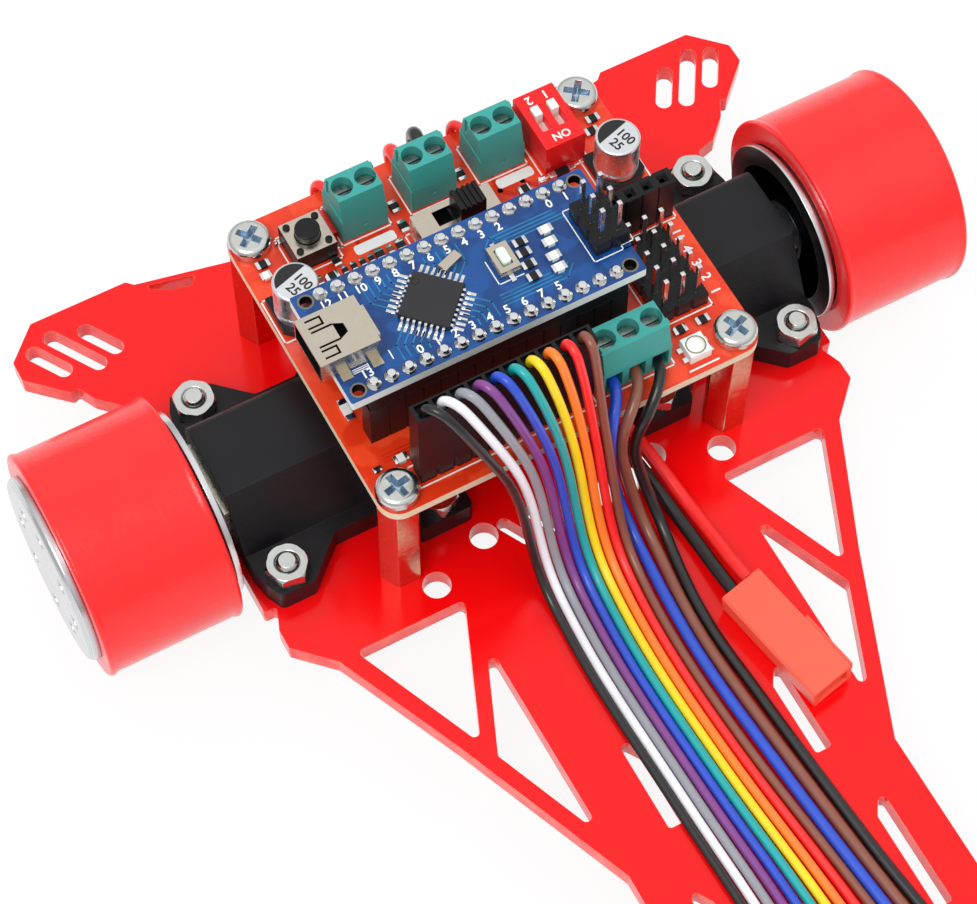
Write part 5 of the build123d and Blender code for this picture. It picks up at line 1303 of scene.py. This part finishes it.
# ------------------------------------------------------------------ studio
@dataclass
class Studio:
    """The pale floor, soft lamps and camera."""

    lens: float = 106.6
    camera_place: Point = (-100.48, -179.86, 364.51)
    camera_turn: Point = (28.84988, -0.24286, -28.42400)
    ambient: float = 0.86
    horizon: float = 0.4
    overhead: float = 1.05
    backdrop_share: float = 0.9

    def camera(self) -> None:
        """Sets up the camera."""
        data = bpy.data.cameras.new("camera")
        data.lens = self.lens
        data.sensor_width = 36.0
        data.clip_start = 0.01
        camera = bpy.data.objects.new("camera", data)
        camera.location = at(*self.camera_place)
        camera.rotation_euler = [radians(angle) for angle in self.camera_turn]
        bpy.context.scene.collection.objects.link(camera)
        bpy.context.scene.camera = camera

    def is_ray(self, tree: bpy.types.NodeTree, *kinds: str) -> bpy.types.NodeSocket:
        """Adds a value of 1 on rays of the named kinds, and 0 on the rest."""
        path = tree.nodes.new("ShaderNodeLightPath")
        total = path.outputs[kinds[0]]
        for name in kinds[1:]:
            node = tree.nodes.new("ShaderNodeMath")
            node.operation = "MAXIMUM"
            tree.links.new(total, node.inputs[0])
            tree.links.new(path.outputs[name], node.inputs[1])
            total = node.outputs[0]
        return total

    def chosen(
        self, tree: bpy.types.NodeTree, share: bpy.types.NodeSocket, low: object, high: object
    ) -> bpy.types.NodeSocket:
        """Goes from a low to a high value by a share; each is a number or a socket."""
        node = tree.nodes.new("ShaderNodeMapRange")
        tree.links.new(share, node.inputs["Value"])
        for name, value in (("To Min", low), ("To Max", high)):
            if isinstance(value, float):
                node.inputs[name].default_value = value
            else:
                tree.links.new(value, node.inputs[name])
        return node.outputs["Result"]

    def world(self) -> None:
        """Makes the surroundings white to look at, softer as light, and darker low down in a gloss."""
        world = bpy.data.worlds.new("studio")
        world.use_nodes = True
        bpy.context.scene.world = world
        tree = world.node_tree
        background = tree.nodes["Background"]
        background.inputs["Color"].default_value = (1.0, 1.0, 1.0, 1.0)
        split = tree.nodes.new("ShaderNodeSeparateXYZ")
        tree.links.new(tree.nodes.new("ShaderNodeTexCoord").outputs["Generated"], split.inputs["Vector"])
        gloss = self.chosen(tree, split.outputs["Z"], self.horizon, self.overhead)
        light = self.chosen(tree, self.is_ray(tree, "Is Glossy Ray"), self.ambient, gloss)
        seen = self.chosen(tree, self.is_ray(tree, "Is Camera Ray", "Is Transmission Ray"), light, 1.0)
        tree.links.new(seen, background.inputs["Strength"])

    def floor(self) -> None:
        """Lays the pale floor, white to look at, with the object's shadow kept."""
        bpy.ops.mesh.primitive_plane_add(size=6.0, location=(0.0, 0.0, -0.0002))
        floor = bpy.context.object
        floor.name = "floor"
        material = bpy.data.materials.new("floor")
        material.use_nodes = True
        tree = material.node_tree
        shader = tree.nodes["Principled BSDF"]
        shader.inputs["Base Color"].default_value = (0.86, 0.86, 0.86, 1.0)
        shader.inputs["Roughness"].default_value = 0.9
        shader.inputs["Specular IOR Level"].default_value = 0.1
        glow = tree.nodes.new("ShaderNodeEmission")
        glow.inputs["Strength"].default_value = 1.0
        mix = tree.nodes.new("ShaderNodeMixShader")
        seen = self.is_ray(tree, "Is Camera Ray", "Is Glossy Ray", "Is Transmission Ray")
        tree.links.new(self.chosen(tree, seen, 0.0, self.backdrop_share), mix.inputs["Fac"])
        tree.links.new(shader.outputs["BSDF"], mix.inputs[1])
        tree.links.new(glow.outputs["Emission"], mix.inputs[2])
        tree.links.new(mix.outputs["Shader"], tree.nodes["Material Output"].inputs["Surface"])
        floor.data.materials.append(material)

    def lamp(self, name: str, place_mm: Point, size: float, power: float, in_gloss: bool) -> None:
        """Hangs a soft lamp that looks at the robot's middle.

        Args:
            name: The lamp's name.
            place_mm: Where it hangs, in the robot's millimetres.
            size: The side of its square face in metres.
            power: Its power in watts.
            in_gloss: Whether glossy surfaces mirror it.
        """
        data = bpy.data.lights.new(name, "AREA")
        data.shape = "SQUARE"
        data.size = size
        data.energy = power
        lamp = bpy.data.objects.new(name, data)
        lamp.location = at(*place_mm)
        lamp.visible_glossy = in_gloss
        aim = at(0.0, -20.0, 20.0) - lamp.location
        lamp.rotation_euler = aim.to_track_quat("-Z", "Y").to_euler()
        bpy.context.scene.collection.objects.link(lamp)

    def build(self) -> None:
        """Sets up the whole studio."""
        bpy.context.scene.view_settings.view_transform = "Standard"
        self.world()
        self.floor()
        self.lamp("key", (-450.0, -250.0, 900.0), 0.5, 4.2, True)
        self.lamp("fill", (600.0, -300.0, 700.0), 0.8, 2.2, False)
        self.lamp("back", (100.0, 800.0, 600.0), 0.8, 2.2, False)
        self.camera()


# ------------------------------------------------------------------ chassis
@dataclass
class Chassis:
    """The red plate with its bolts, nuts, spacers and skids."""

    edge_round: float = 0.12
    bolt_end_z: float = 17.5
    screw_places: Sequence[tuple[float, float]] = (
        (25.5, 24.1),
        (25.5, -19.45),
        (-25.5, 24.1),
        (-25.5, -19.45),
    )
    recess_reach: float = 1.95
    head_top: float = 34.7

    def in_recess(self, middle: Vector, normal: Vector) -> bool:
        """Tells whether a face lies in the recess of one of the board's screws."""
        reach = min(hypot(middle.x - x, middle.y - y) for x, y in self.screw_places)
        return reach < self.recess_reach and BOARD_TOP + 0.6 < middle.z < self.head_top - 0.03

    def build(self) -> None:
        """Builds and dresses the chassis."""
        plate = redrawn("chassis_plate", self.edge_round, RED_SHEET)
        # The cut edge and its rim are painted light: a lighter glow from within the sheet, palest on the rim
        # as a painted highlight.
        dress(plate, RED_EDGE_GLOW, sideways)
        dress(plate, RED_RIM_GLOW, lambda middle, normal: 0.4 <= abs(normal.z) < 0.97)
        bolts = redrawn("m3_bolts", 0.1, ZINC)
        dress(bolts, THREAD, lambda middle, normal: middle.z > self.bolt_end_z and abs(normal.z) < 0.5)
        redrawn("m3_nuts", 0.12, ZINC)
        redrawn("skid_nuts", 0.15, WHITE_NYLON)
        redrawn("board_spacers", 0.15, COPPER)
        screws = redrawn("spacer_screws", 0.08, ZINC)
        # Painted shade inside the screws' recesses.
        dress(screws, RECESS_SHADE_ZINC, self.in_recess)


# ------------------------------------------------------------------ drive
class Side(Enum):
    """The two sides of the robot."""

    RIGHT = "right"
    LEFT = "left"


@dataclass
class Drive:
    """One wheel with its motor and bracket."""

    side: Side
    gearbox_x: float = 36.0
    can_x: float = 20.9
    cap_end_x: float = 20.0
    face_plate_x: float = 43.9
    axle_z: float = 16.4
    hollow_radius: float = 13.15
    hollow_end_x: float = 55.35
    bore_radius: float = 1.5
    bore_x: tuple[float, float] = (45.0, 55.3)
    key_height: float = 1.0
    hub_profile: Sequence[tuple[float, float]] = (
        (46.8, 4.6),
        (55.0, 4.6),
        (55.0, 10.4),
        (46.0, 10.4),
        (46.0, 13.4),
        (46.9, 13.4),
        (46.9, 12.35),
        (67.2, 12.35),
        (67.2, 13.5),
        (68.1, 13.5),
        (68.7, 12.9),
    )
    dimples: int = 8
    dimple_ring: float = 8.6
    dimple_radius: float = 1.1
    dimple_depth: float = 0.5
    along_axle: Point = (0.0, 90.0, 0.0)

    def motor(self) -> None:
        """Dresses the motor: brass gearbox behind a nickel face plate, bright can, dark cap."""
        piece = redrawn(f"gearmotor_{self.side.value}", 0.1, BRASS)
        dress(piece, STEEL, lambda middle, normal: self.can_x < abs(middle.x) < self.gearbox_x - 0.05)
        dress(piece, BLACK_PLASTIC, lambda middle, normal: self.cap_end_x < abs(middle.x) < self.can_x)
        dress(piece, NICKEL, lambda middle, normal: abs(middle.x) > self.face_plate_x)

    def hub(self) -> None:
        """Turns the hub from its profile and sinks a ring of dimples into its face."""
        piece = lathed(self.hub_profile, self.axle_z)
        first_x, last_x = self.bore_x
        middle_x = (first_x + last_x) / 2
        bore = rod((middle_x, 0.0, self.axle_z), self.bore_radius, last_x - first_x, 32, self.along_axle)
        key_z = self.axle_z + self.key_height
        key = box(
            (first_x - 1.0, -self.bore_radius - 1.0, key_z),
            (last_x + 1.0, self.bore_radius + 1.0, key_z + self.bore_radius),
        )
        carve(piece, carve(bore, key))
        face_x = self.hub_profile[-1][0]
        for k in range(self.dimples):
            angle = 2 * pi * k / self.dimples
            y, z = self.dimple_ring * cos(angle), self.axle_z + self.dimple_ring * sin(angle)
            dimple = rod((face_x, y, z), self.dimple_radius, 2 * self.dimple_depth, 20, self.along_axle)
            carve(piece, dimple)
        round_edges(piece, 0.15)
        if self.side is Side.LEFT:
            turned = mirrored(piece)
            bpy.data.objects.remove(piece)
            piece = turned
        smooth(piece)
        dress(piece, ALUMINIUM)
        # Painted shade inside the hub's hollow.
        dress(piece, HOLLOW_SHADE_ALUMINIUM, self.in_hub)
        node = f"wheel_hub_{self.side.value}"
        piece.name = f"{node}_shown"
        place(piece, body_of(frame["nodes"][node])[0], node)

    def in_hub(self, middle: Vector, normal: Vector) -> bool:
        """Tells whether a face lies in the hub's hollow, open towards the motor."""
        reach = hypot(middle.y, middle.z - self.axle_z)
        return reach < self.hollow_radius and abs(middle.x) < self.hollow_end_x

    def build(self) -> None:
        """Builds and dresses one side."""
        side = self.side.value
        redrawn(f"motor_bracket_{side}", 0.22, BLACK_PRINT)
        self.motor()
        redrawn(f"motor_shaft_{side}", 0.12, STEEL)
        self.hub()
        redrawn(f"tyre_{side}", 0.35, RED_SILICONE, 3)


# ------------------------------------------------------------------ small soldered parts
@dataclass
class SmallParts:
    """The resistors, capacitors, lamps and the crystal soldered flat on both boards."""

    end_share: float = 0.25
    crystal_length: float = 3.1

    def body_finish(self, low: Vector, high: Vector) -> Finish:
        """Chooses the finish of a part's body from its place and size."""
        size = high - low
        if size.x > self.crystal_length and size.y > 2.0:
            return NICKEL
        if low.z > NANO_BOTTOM:
            return FROSTED_LENS if size.z > 0.7 else BLACK_FILM
        if size.z > 0.65:
            return WHITE_NYLON if size.x < 3.0 else BLACK_FILM
        if size.y > 3.0:
            return WHITE_NYLON
        return BROWN_CERAMIC if abs(size.y - 1.6) < 0.05 else BLACK_FILM

    def finished(self, piece: Piece) -> Piece:
        """Parts one block into its body and its two soldered ends, and dresses them."""
        corners = [back(vertex.co) for vertex in piece.data.vertices]
        low = Vector([min(corner[k] for corner in corners) for k in range(3)])
        high = Vector([max(corner[k] for corner in corners) for k in range(3)])
        finish = self.body_finish(low, high)
        if finish is NICKEL:
            return dress(piece, finish)
        along = 0 if high.x - low.x >= high.y - low.y else 1
        axis = Vector((1.0, 0.0, 0.0)) if along == 0 else Vector((0.0, 1.0, 0.0))
        middle_line = (low[along] + high[along]) / 2
        body_half = (0.5 - self.end_share) * (high[along] - low[along])
        for end in (1, -1):
            cut_place = (low + high) / 2 + end * body_half * axis
            with editing(piece):
                bpy.ops.mesh.select_all(action="SELECT")
                bpy.ops.mesh.bisect(plane_co=at(*cut_place), plane_no=axis)
        dress(piece, TIN)
        return dress(piece, finish, lambda middle, normal: abs(middle[along] - middle_line) < body_half)

    def build(self) -> None:
        """Builds all of them as one piece."""
        whole = merged_copy("small_parts")
        select_only(whole)
        with editing(whole):
            bpy.ops.mesh.select_all(action="SELECT")
            bpy.ops.mesh.separate(type="LOOSE")
        parts = [self.finished(piece) for piece in list(bpy.context.selected_objects)]
        piece = joined(parts, "small_parts_shown")
        round_edges(piece, 0.07, 2)
        smooth(piece)
        place(piece, CHASSIS, "small_parts")


# ------------------------------------------------------------------ controller board
@dataclass
class ControllerBoard:
    """The main board with everything soldered to it."""

    terminal_xs: Sequence[float] = (-10.7, -0.1, 10.5)
    terminal_y: float = 21.3
    capacitor_x: float = 24.55
    capacitor_y: float = 11.3
    capacitor_top: float = 40.4
    capacitor_base_top: float = 33.9
    header_base_top: float = 35.2
    tact_place: tuple[float, float] = (-18.7, 19.7)
    tact_top: float = 36.2
    dip_place: tuple[float, float] = (18.6, 19.75)
    dip_top: float = 38.7
    slide_top: float = 37.7
    slide_floor: float = 35.2
    slide_window_x: tuple[float, float] = (-3.62, 4.72)
    slide_window_y: tuple[float, float] = (10.95, 14.45)
    led_place: tuple[float, float] = (19.38, -19.3)
    lens_radius: float = 1.25
    led_top: float = 34.4

    def board(self) -> None:
        """Dresses the board and lays the tracks below its lacquer."""
        board = redrawn("controller_board", 0.05, RED_MASK, 1)
        dress(board, LAMINATE, sideways)
        tracks: list[Piece] = []
        for k, x in enumerate(self.terminal_xs):
            for side in (1, -1):
                start = (x + 1.75 * side, 17.9)
                knee = (x + 1.75 * side, 16.6 - 0.5 * k)
                tracks += polyline([start, knee, (knee[0] + 1.4, knee[1] - 1.4)], 0.7, BOARD_TOP, TRACK_T)
        for k in range(3):
            y = -13.7 - 0.5 * k
            tracks += polyline([(-24.8, y), (-14.0, y), (-12.6, y + 1.4)], 0.25, BOARD_TOP, TRACK_T)
        printed(tracks, "board_tracks", RED_TRACK)

    def markings(self) -> None:
        """Prints the outlines, blank labels and plain signs round the parts."""
        strokes: list[Piece] = []
        for x in self.terminal_xs:
            strokes += rectangle((x, self.terminal_y), (7.5, 7.0), BOARD_TOP)
        strokes += rectangle(self.tact_place, (7.0, 7.0), BOARD_TOP)
        strokes += rectangle(self.dip_place, (7.1, 10.6), BOARD_TOP)
        strokes += rectangle((0.25, 12.7), (13.0, 5.1), BOARD_TOP)
        strokes += rectangle((-9.47, -18.6), (26.7, 3.5), BOARD_TOP)
        strokes += rectangle((20.95, -7.3), (8.5, 13.6), BOARD_TOP)
        strokes += rectangle((22.4, 2.1), (11.1, 3.4), BOARD_TOP)
        strokes += rectangle((10.36, -16.25), (11.3, 7.1), BOARD_TOP)
        for side in (1, -1):
            strokes += rectangle((side * self.capacitor_x, self.capacitor_y), (7.4, 7.4), BOARD_TOP)
        strokes += polyline([(17.2, -21.8), (21.6, -21.8)], 0.25, BOARD_TOP, PAINT_T)
        for k, text in enumerate(("1", "2", "3", "4", "11")):
            strokes.append(lettering(text, (26.6, -12.4 + PITCH * k), 2.0, BOARD_TOP, -90.0))
        strokes.append(pill((-10.3, 16.2), (6.2, 1.6), BOARD_TOP))
        strokes.append(pill((11.6, 16.6), (5.6, 1.6), BOARD_TOP))
        strokes.append(lettering("+", (-1.85, 16.4), 2.4, BOARD_TOP))
        strokes.append(lettering("-", (1.65, 16.4), 2.4, BOARD_TOP))
        for side in (1, -1):
            strokes.append(lettering("+", (side * 24.2, 6.4), 2.0, BOARD_TOP))
        printed(strokes, "board_print", WHITE_INK)

    def capacitors(self) -> None:
        """Dresses both cans and prints the dark sector and plain figures on their tops."""
        cans = redrawn("capacitors", 0.12, CAN)
        dress(cans, BLACK_PLASTIC, lambda middle, normal: middle.z < self.capacitor_base_top + 0.02)
        marks = []
        figures = []
        for side in (1, -1):
            centre = (side * self.capacitor_x, self.capacitor_y)
            sector = rod((*centre, self.capacitor_top + PAINT_T / 2), 2.75, PAINT_T, 40)
            with editing(sector):
                bpy.ops.mesh.select_all(action="SELECT")
                bpy.ops.mesh.bisect(
                    plane_co=at(centre[0] - 0.26, centre[1] + 0.86, self.capacitor_top),
                    plane_no=(-0.29, 0.96, 0.0),
                    use_fill=True,
                    clear_inner=True,
                )
            marks.append(sector)
            for text, across in (("100", 0.75), ("25", -1.05)):
                spot = (centre[0] + 0.96 * across + 0.2, centre[1] + 0.29 * across - 0.75)
                figures.append(lettering(text, spot, 1.9, self.capacitor_top, -73.0))
        printed([*marks, *figures], "capacitor_marks", BLACK_INK)

    def terminals(self) -> None:
        """Dresses the screw terminals."""
        redrawn("two_way_terminals", 0.12, GREEN_PLASTIC)
        redrawn("sensor_terminal", 0.12, GREEN_PLASTIC, whole_faces=False)
        # The screws' darker steel is painted shade of their wells.
        redrawn("terminal_screws", 0.08, WELL_SHADED_SCREW_STEEL)

    def headers(self) -> None:
        """Dresses the pin strips and their bright pins."""
        redrawn("nano_sockets", 0.08, BLACK_PLASTIC)
        headers = redrawn("pin_headers", 0.06, BLACK_PLASTIC)
        tops = ((NANO_TOP + 0.1, NANO_TOP + 2.52), (BOARD_TOP - 1.0, self.header_base_top + 0.02))
        dress(
            headers,
            TIN,
            lambda middle, normal: (
                middle.z > tops[0][1] if middle.z > NANO_TOP - 1.0 else middle.z > tops[1][1]
            ),
        )
        redrawn("socket_header", 0.06, BLACK_PLASTIC)
        redrawn("sensor_plug_rear", 0.08, BLACK_PLASTIC)

    def tact(self) -> None:
        """Dresses the push switch and adds its four legs."""
        switch = redrawn("tact_switch", 0.1, BLACK_PLASTIC)
        dress(
            switch,
            NICKEL,
            lambda middle, normal: normal.z > 0.95 and abs(middle.z - self.tact_top) < 0.03,
        )
        redrawn("tact_button", 0.1, BLACK_PLASTIC)
        legs = []
        for side in (1, -1):
            for dy in (2.25, -2.25):
                x, y = self.tact_place[0] + side * 3.25, self.tact_place[1] + dy
                leg = block((x, y), (0.5, 0.7, 1.1), BOARD_TOP)
                with editing(leg):
                    select_faces(leg, lambda middle, normal: normal.x * side > 0.9)
                    bpy.ops.mesh.extrude_region_move(
                        TRANSFORM_OT_translate={"value": (side * 0.55 * MM, 0.0, -0.35 * MM)}
                    )
                    bpy.ops.transform.resize(value=(1.0, 1.0, 0.35))
                legs.append(leg)
        piece = joined(legs, "tact_legs")
        round_edges(piece, 0.06)
        smooth(piece)
        dress(piece, TIN)
        place(piece, CHASSIS)

    def slide(self) -> None:
        """Dresses the power switch: bright shell, painted shade inside its window, black knob."""
        shell = redrawn("slide_switch", 0.1, NICKEL)
        dress(
            shell,
            CAVITY_SHADE,
            lambda middle, normal: (
                self.slide_window_x[0] < middle.x < self.slide_window_x[1]
                and self.slide_window_y[0] < middle.y < self.slide_window_y[1]
                and self.slide_floor < middle.z < self.slide_top - 0.08
            ),
        )
        redrawn("slide_lever", 0.1, BLACK_PLASTIC)

    def dip(self) -> None:
        """Dresses the two-way switch and prints its figures."""
        body = redrawn("dip_switch", 0.1, RED_PLASTIC)
        dress(
            body,
            WHITE_NYLON,
            lambda middle, normal: normal.z > 0.9 and self.dip_top - 1.8 < middle.z < self.dip_top - 1.4,
        )
        redrawn("dip_slider_1", 0.08, WHITE_NYLON)
        redrawn("dip_slider_2", 0.08, WHITE_NYLON)
        figures = [
            lettering("2", (17.3, 23.3), 1.9, self.dip_top, 180.0),
            lettering("1", (19.84, 23.3), 1.9, self.dip_top, 180.0),
            lettering("ON", (18.6, 16.3), 1.7, self.dip_top, 180.0),
        ]
        printed(figures, "switch_figures", WHITE_INK)

    def lamp(self) -> None:
        """Dresses the square lamp: pale body, frosted window in a dark rim, bright pads."""
        lamp = redrawn("rgb_led", 0.06, WHITE_NYLON)
        x, y = self.led_place
        rim = ring((x, y), 1.42, 0.18, self.led_top, TRACK_T)
        rim.name = "lamp_rim"
        dress(rim, RING_METAL)
        place(rim, CHASSIS)
        dress(
            lamp,
            FROSTED_LENS,
            lambda middle, normal: (
                hypot(middle.x - x, middle.y - y) < self.lens_radius and middle.z < self.led_top - 0.05
            ),
        )
        dress(lamp, TIN, lambda middle, normal: abs(middle.x - x) > 1.62)

    def build(self) -> None:
        """Builds and dresses the board."""
        self.board()
        self.markings()
        self.headers()
        self.terminals()
        self.tact()
        self.slide()
        self.dip()
        self.lamp()
        self.capacitors()


# ------------------------------------------------------------------ plug-in board
@dataclass
class PluginBoard:
    """The blue microcontroller board that stands on the controller board."""

    centre: tuple[float, float] = (-5.95, -2.597)
    row_y: float = 7.62
    pins: int = 15
    hole_x: float = 19.95
    hole_y: float = 7.5
    chip_place: tuple[float, float] = (-11.6, -2.897)
    chip_half: float = 3.5
    usb_place: tuple[float, float] = (-25.2, -3.097)
    reset_place: tuple[float, float] = (-0.5, -2.0)

    def pin_xs(self) -> list[float]:
        """Lists the places of the pins along a row."""
        return row(self.pins, PITCH, self.centre[0])

    def in_corner_hole(self, middle: Vector, normal: Vector) -> bool:
        """Tells whether a face is part of the wall of a corner hole."""
        across = abs(middle.x - self.centre[0]) - self.hole_x
        return hypot(across, abs(middle.y - self.centre[1]) - self.hole_y) < 0.9

    def board(self) -> None:
        """Dresses the board, with a ring round each corner hole."""
        board = redrawn("nano_board", 0.04, BLUE_MASK, 1)
        dress(board, PALE_LAMINATE, sideways)
        # Painted shade on the walls of the corner holes.
        dress(board, CAVITY_SHADE, self.in_corner_hole)
        rings = [
            ring((self.centre[0] + x, self.centre[1] + y), 1.12, 0.26, NANO_TOP, TRACK_T)
            for x in (self.hole_x, -self.hole_x)
            for y in (self.hole_y, -self.hole_y)
        ]
        piece = joined(rings, "hole_rings")
        dress(piece, RING_METAL)
        place(piece, CHASSIS)

    def tracks(self) -> None:
        """Lays the tracks that fan out from the chip's four sides to both pin rows."""
        lines: list[Piece] = []
        reach = self.chip_half + 1.0
        for across in (1, -1):
            for upward in (1, -1):
                for k in range(6):
                    along = (k - 2.5) * 0.95
                    x = self.chip_place[0] + (across * reach + across * along) / 2**0.5
                    y = self.chip_place[1] + (upward * reach - upward * along) / 2**0.5
                    run = 0.7 + 0.28 * k
                    knee = (x + across * run, y + upward * run)
                    stop = self.centre[1] + upward * 6.2
                    if (stop - knee[1]) * upward > 0.4:
                        lines += polyline([(x, y), knee, (knee[0], stop)], 0.22, NANO_TOP, TRACK_T)
        for k in range(4):
            y = self.centre[1] + 4.9 - 0.55 * k
            start = self.reset_place[0] - 1.0 + 0.5 * k
            bend = [(start, y - 1.2), (start + 1.2, y), (9.0 + 0.4 * k, y)]
            lines += polyline(bend, 0.2, NANO_TOP, TRACK_T)
            y = self.centre[1] - 3.6 - 0.55 * k
            bend = [(-3.2, y), (4.5 + 0.5 * k, y), (6.0 + 0.5 * k, y + 1.5)]
            lines += polyline(bend, 0.2, NANO_TOP, TRACK_T)
        printed(lines, "plugin_tracks", BLUE_TRACK)

    def markings(self) -> None:
        """Prints plain pin numbers, the parts' outlines and the lines beside the USB socket."""
        xs = self.pin_xs()
        strokes: list[Piece] = []
        rear = self.centre[1] + self.row_y - 1.75
        front = self.centre[1] - self.row_y + 1.75
        for k, x in enumerate(xs[:11]):
            strokes.append(lettering(str(12 - k), (x, rear), 1.75, NANO_TOP))
        strokes.append(lettering("13", (xs[0], front), 1.75, NANO_TOP))
        for k, x in enumerate(xs[3:11]):
            strokes.append(lettering(str(k), (x, front), 1.75, NANO_TOP))
        strokes.append(lettering("5", (xs[11], front), 1.75, NANO_TOP))
        strokes.append(lettering("0", (xs[13], rear), 1.75, NANO_TOP))
        strokes.append(lettering("1", (xs[14], rear), 1.75, NANO_TOP))
        strokes += rectangle((13.25, -3.1), (6.2, 8.9), NANO_TOP, 0.16)
        strokes += rectangle((15.4, -7.2), (1.9, 0.7), NANO_TOP, 0.16)
        x, y = self.reset_place
        reset_corner = [(x - 2.0, y + 1.2), (x - 2.0, y - 2.7), (x + 1.6, y - 2.7)]
        strokes += polyline(reset_corner, 0.16, NANO_TOP, PAINT_T)
        x, y = self.usb_place
        for k in range(3):
            line_y = y - 4.1 - 0.27 * k
            strokes.append(strip((x - 0.1, line_y), (x + 2.0, line_y), 0.11, NANO_TOP, PAINT_T))
        strokes.append(strip((x + 2.1, y - 4.7), (x + 2.1, y - 4.0), 0.11, NANO_TOP, PAINT_T))
        strokes.append(strip((x + 5.4, y - 4.9), (x + 5.4, y - 3.6), 0.16, NANO_TOP, PAINT_T))
        printed(strokes, "plugin_print", WHITE_INK)

    def solder(self) -> None:
        """Models one drop of solder and copies it onto every pin."""
        first = solder_dome((self.centre[0], self.centre[1]), 1.08, 0.72, NANO_TOP)
        dress(first, TIN)
        drops = []
        for k, x in enumerate(self.pin_xs()):
            for side in (1, -1):
                drop = copied(first, (x - self.centre[0], side * self.row_y, 0.0))
                drops.append(turned_about(drop, (x, self.centre[1] + side * self.row_y, NANO_TOP), 37.0 * k))
        bpy.data.objects.remove(first)
        place(joined(drops, "plugin_solder"), CHASSIS)

    def chip(self) -> None:
        """Dresses the chip and its bright leads."""
        chip = redrawn("microcontroller", 0.04, CHIP_EPOXY)
        x, y = self.chip_place

        def on_lead(middle: Vector, normal: Vector) -> bool:
            """Tells whether a face lies outside the chip's body."""
            across = (middle.x - x + middle.y - y) / 2**0.5
            along = (middle.y - y - middle.x + x) / 2**0.5
            return max(abs(across), abs(along)) > self.chip_half + 0.02

        dress(chip, TIN, on_lead)
        pads = []
        for quarter in range(4):
            for k in range(8):
                along = (k - 3.5) * 0.8
                pad = strip((x + 4.25, y + along), (x + 5.05, y + along), 0.42, NANO_TOP, TRACK_T)
                pads.append(turned_about(pad, (x, y, NANO_TOP), 45.0 + 90.0 * quarter))
        feet = joined(pads, "chip_pads")
        dress(feet, TIN)
        place(feet, CHASSIS)
        dimple = ring((x - 0.6, y + 3.3), 0.55, 0.1, NANO_TOP + 1.1, TRACK_T)
        dimple.name = "chip_mark"
        dress(dimple, BLACK_FILM)
        place(dimple, CHASSIS)

    def usb(self) -> None:
        """Dresses the USB socket, with painted shade inside."""
        socket = redrawn("usb_socket", 0.12, NICKEL)
        x, y = self.usb_place
        dress(
            socket,
            CAVITY_SHADE,
            lambda middle, normal: (
                abs(middle.y - y) < 3.6
                and middle.x < x + 4.1
                and NANO_TOP + 0.2 < middle.z < NANO_TOP + 3.7
                and (middle.x > x - 4.25 or abs(normal.x) < 0.5)
            ),
        )

    def build(self) -> None:
        """Builds and dresses the board."""
        self.board()
        self.tracks()
        self.markings()
        self.solder()
        pins = redrawn("nano_pins", 0.06, BLACK_PLASTIC)
        dress(
            pins,
            TIN,
            lambda middle, normal: middle.z < NANO_BOTTOM - 2.52 or middle.z > NANO_BOTTOM + 0.02,
        )
        self.chip()
        self.usb()
        switch = redrawn("reset_switch", 0.08, NICKEL)
        reach = 2.22
        dress(switch, TIN, lambda middle, normal: abs(middle.y - self.reset_place[1]) > reach)
        redrawn("reset_button", 0.1, PALE_RUBBER)


# ------------------------------------------------------------------ sensor board
@dataclass
class SensorBoard:
    """The board of line sensors below the arm's tip."""

    sensor_pitch: float = 9.525
    sensors: int = 8
    row_y: float = -144.3
    top: float = 7.1

    def markings(self) -> None:
        """Numbers the sensors on the board's upper face."""
        figures = []
        for k, x in enumerate(row(self.sensors, self.sensor_pitch)):
            figures.append(lettering(str(k + 1), (x, self.row_y), 1.8, self.top))
            figures += rectangle((x, self.row_y), (4.2, 3.4), self.top, 0.18)
        printed(figures, "sensor_print", WHITE_INK)

    def build(self) -> None:
        """Builds and dresses the board."""
        board = redrawn("sensor_board", 0.05, RED_MASK, 1)
        dress(board, LAMINATE, sideways)
        self.markings()
        redrawn("line_sensors", 0.1, BLACK_PLASTIC)
        redrawn("sensor_plug_front", 0.08, BLACK_PLASTIC)


def main() -> None:
    """Builds the robot's looks and the studio round it."""
    logging.basicConfig(level=logging.INFO, format="%(name)s: %(message)s")
    Studio().build()
    plug = redrawn("battery_plug", 0.07, CORAL_PLASTIC)
    Harness().build(plug)
    Chassis().build()
    for side in Side:
        Drive(side).build()
    ControllerBoard().build()
    SmallParts().build()
    PluginBoard().build()
    SensorBoard().build()


if __name__ == "__main__":
    main()
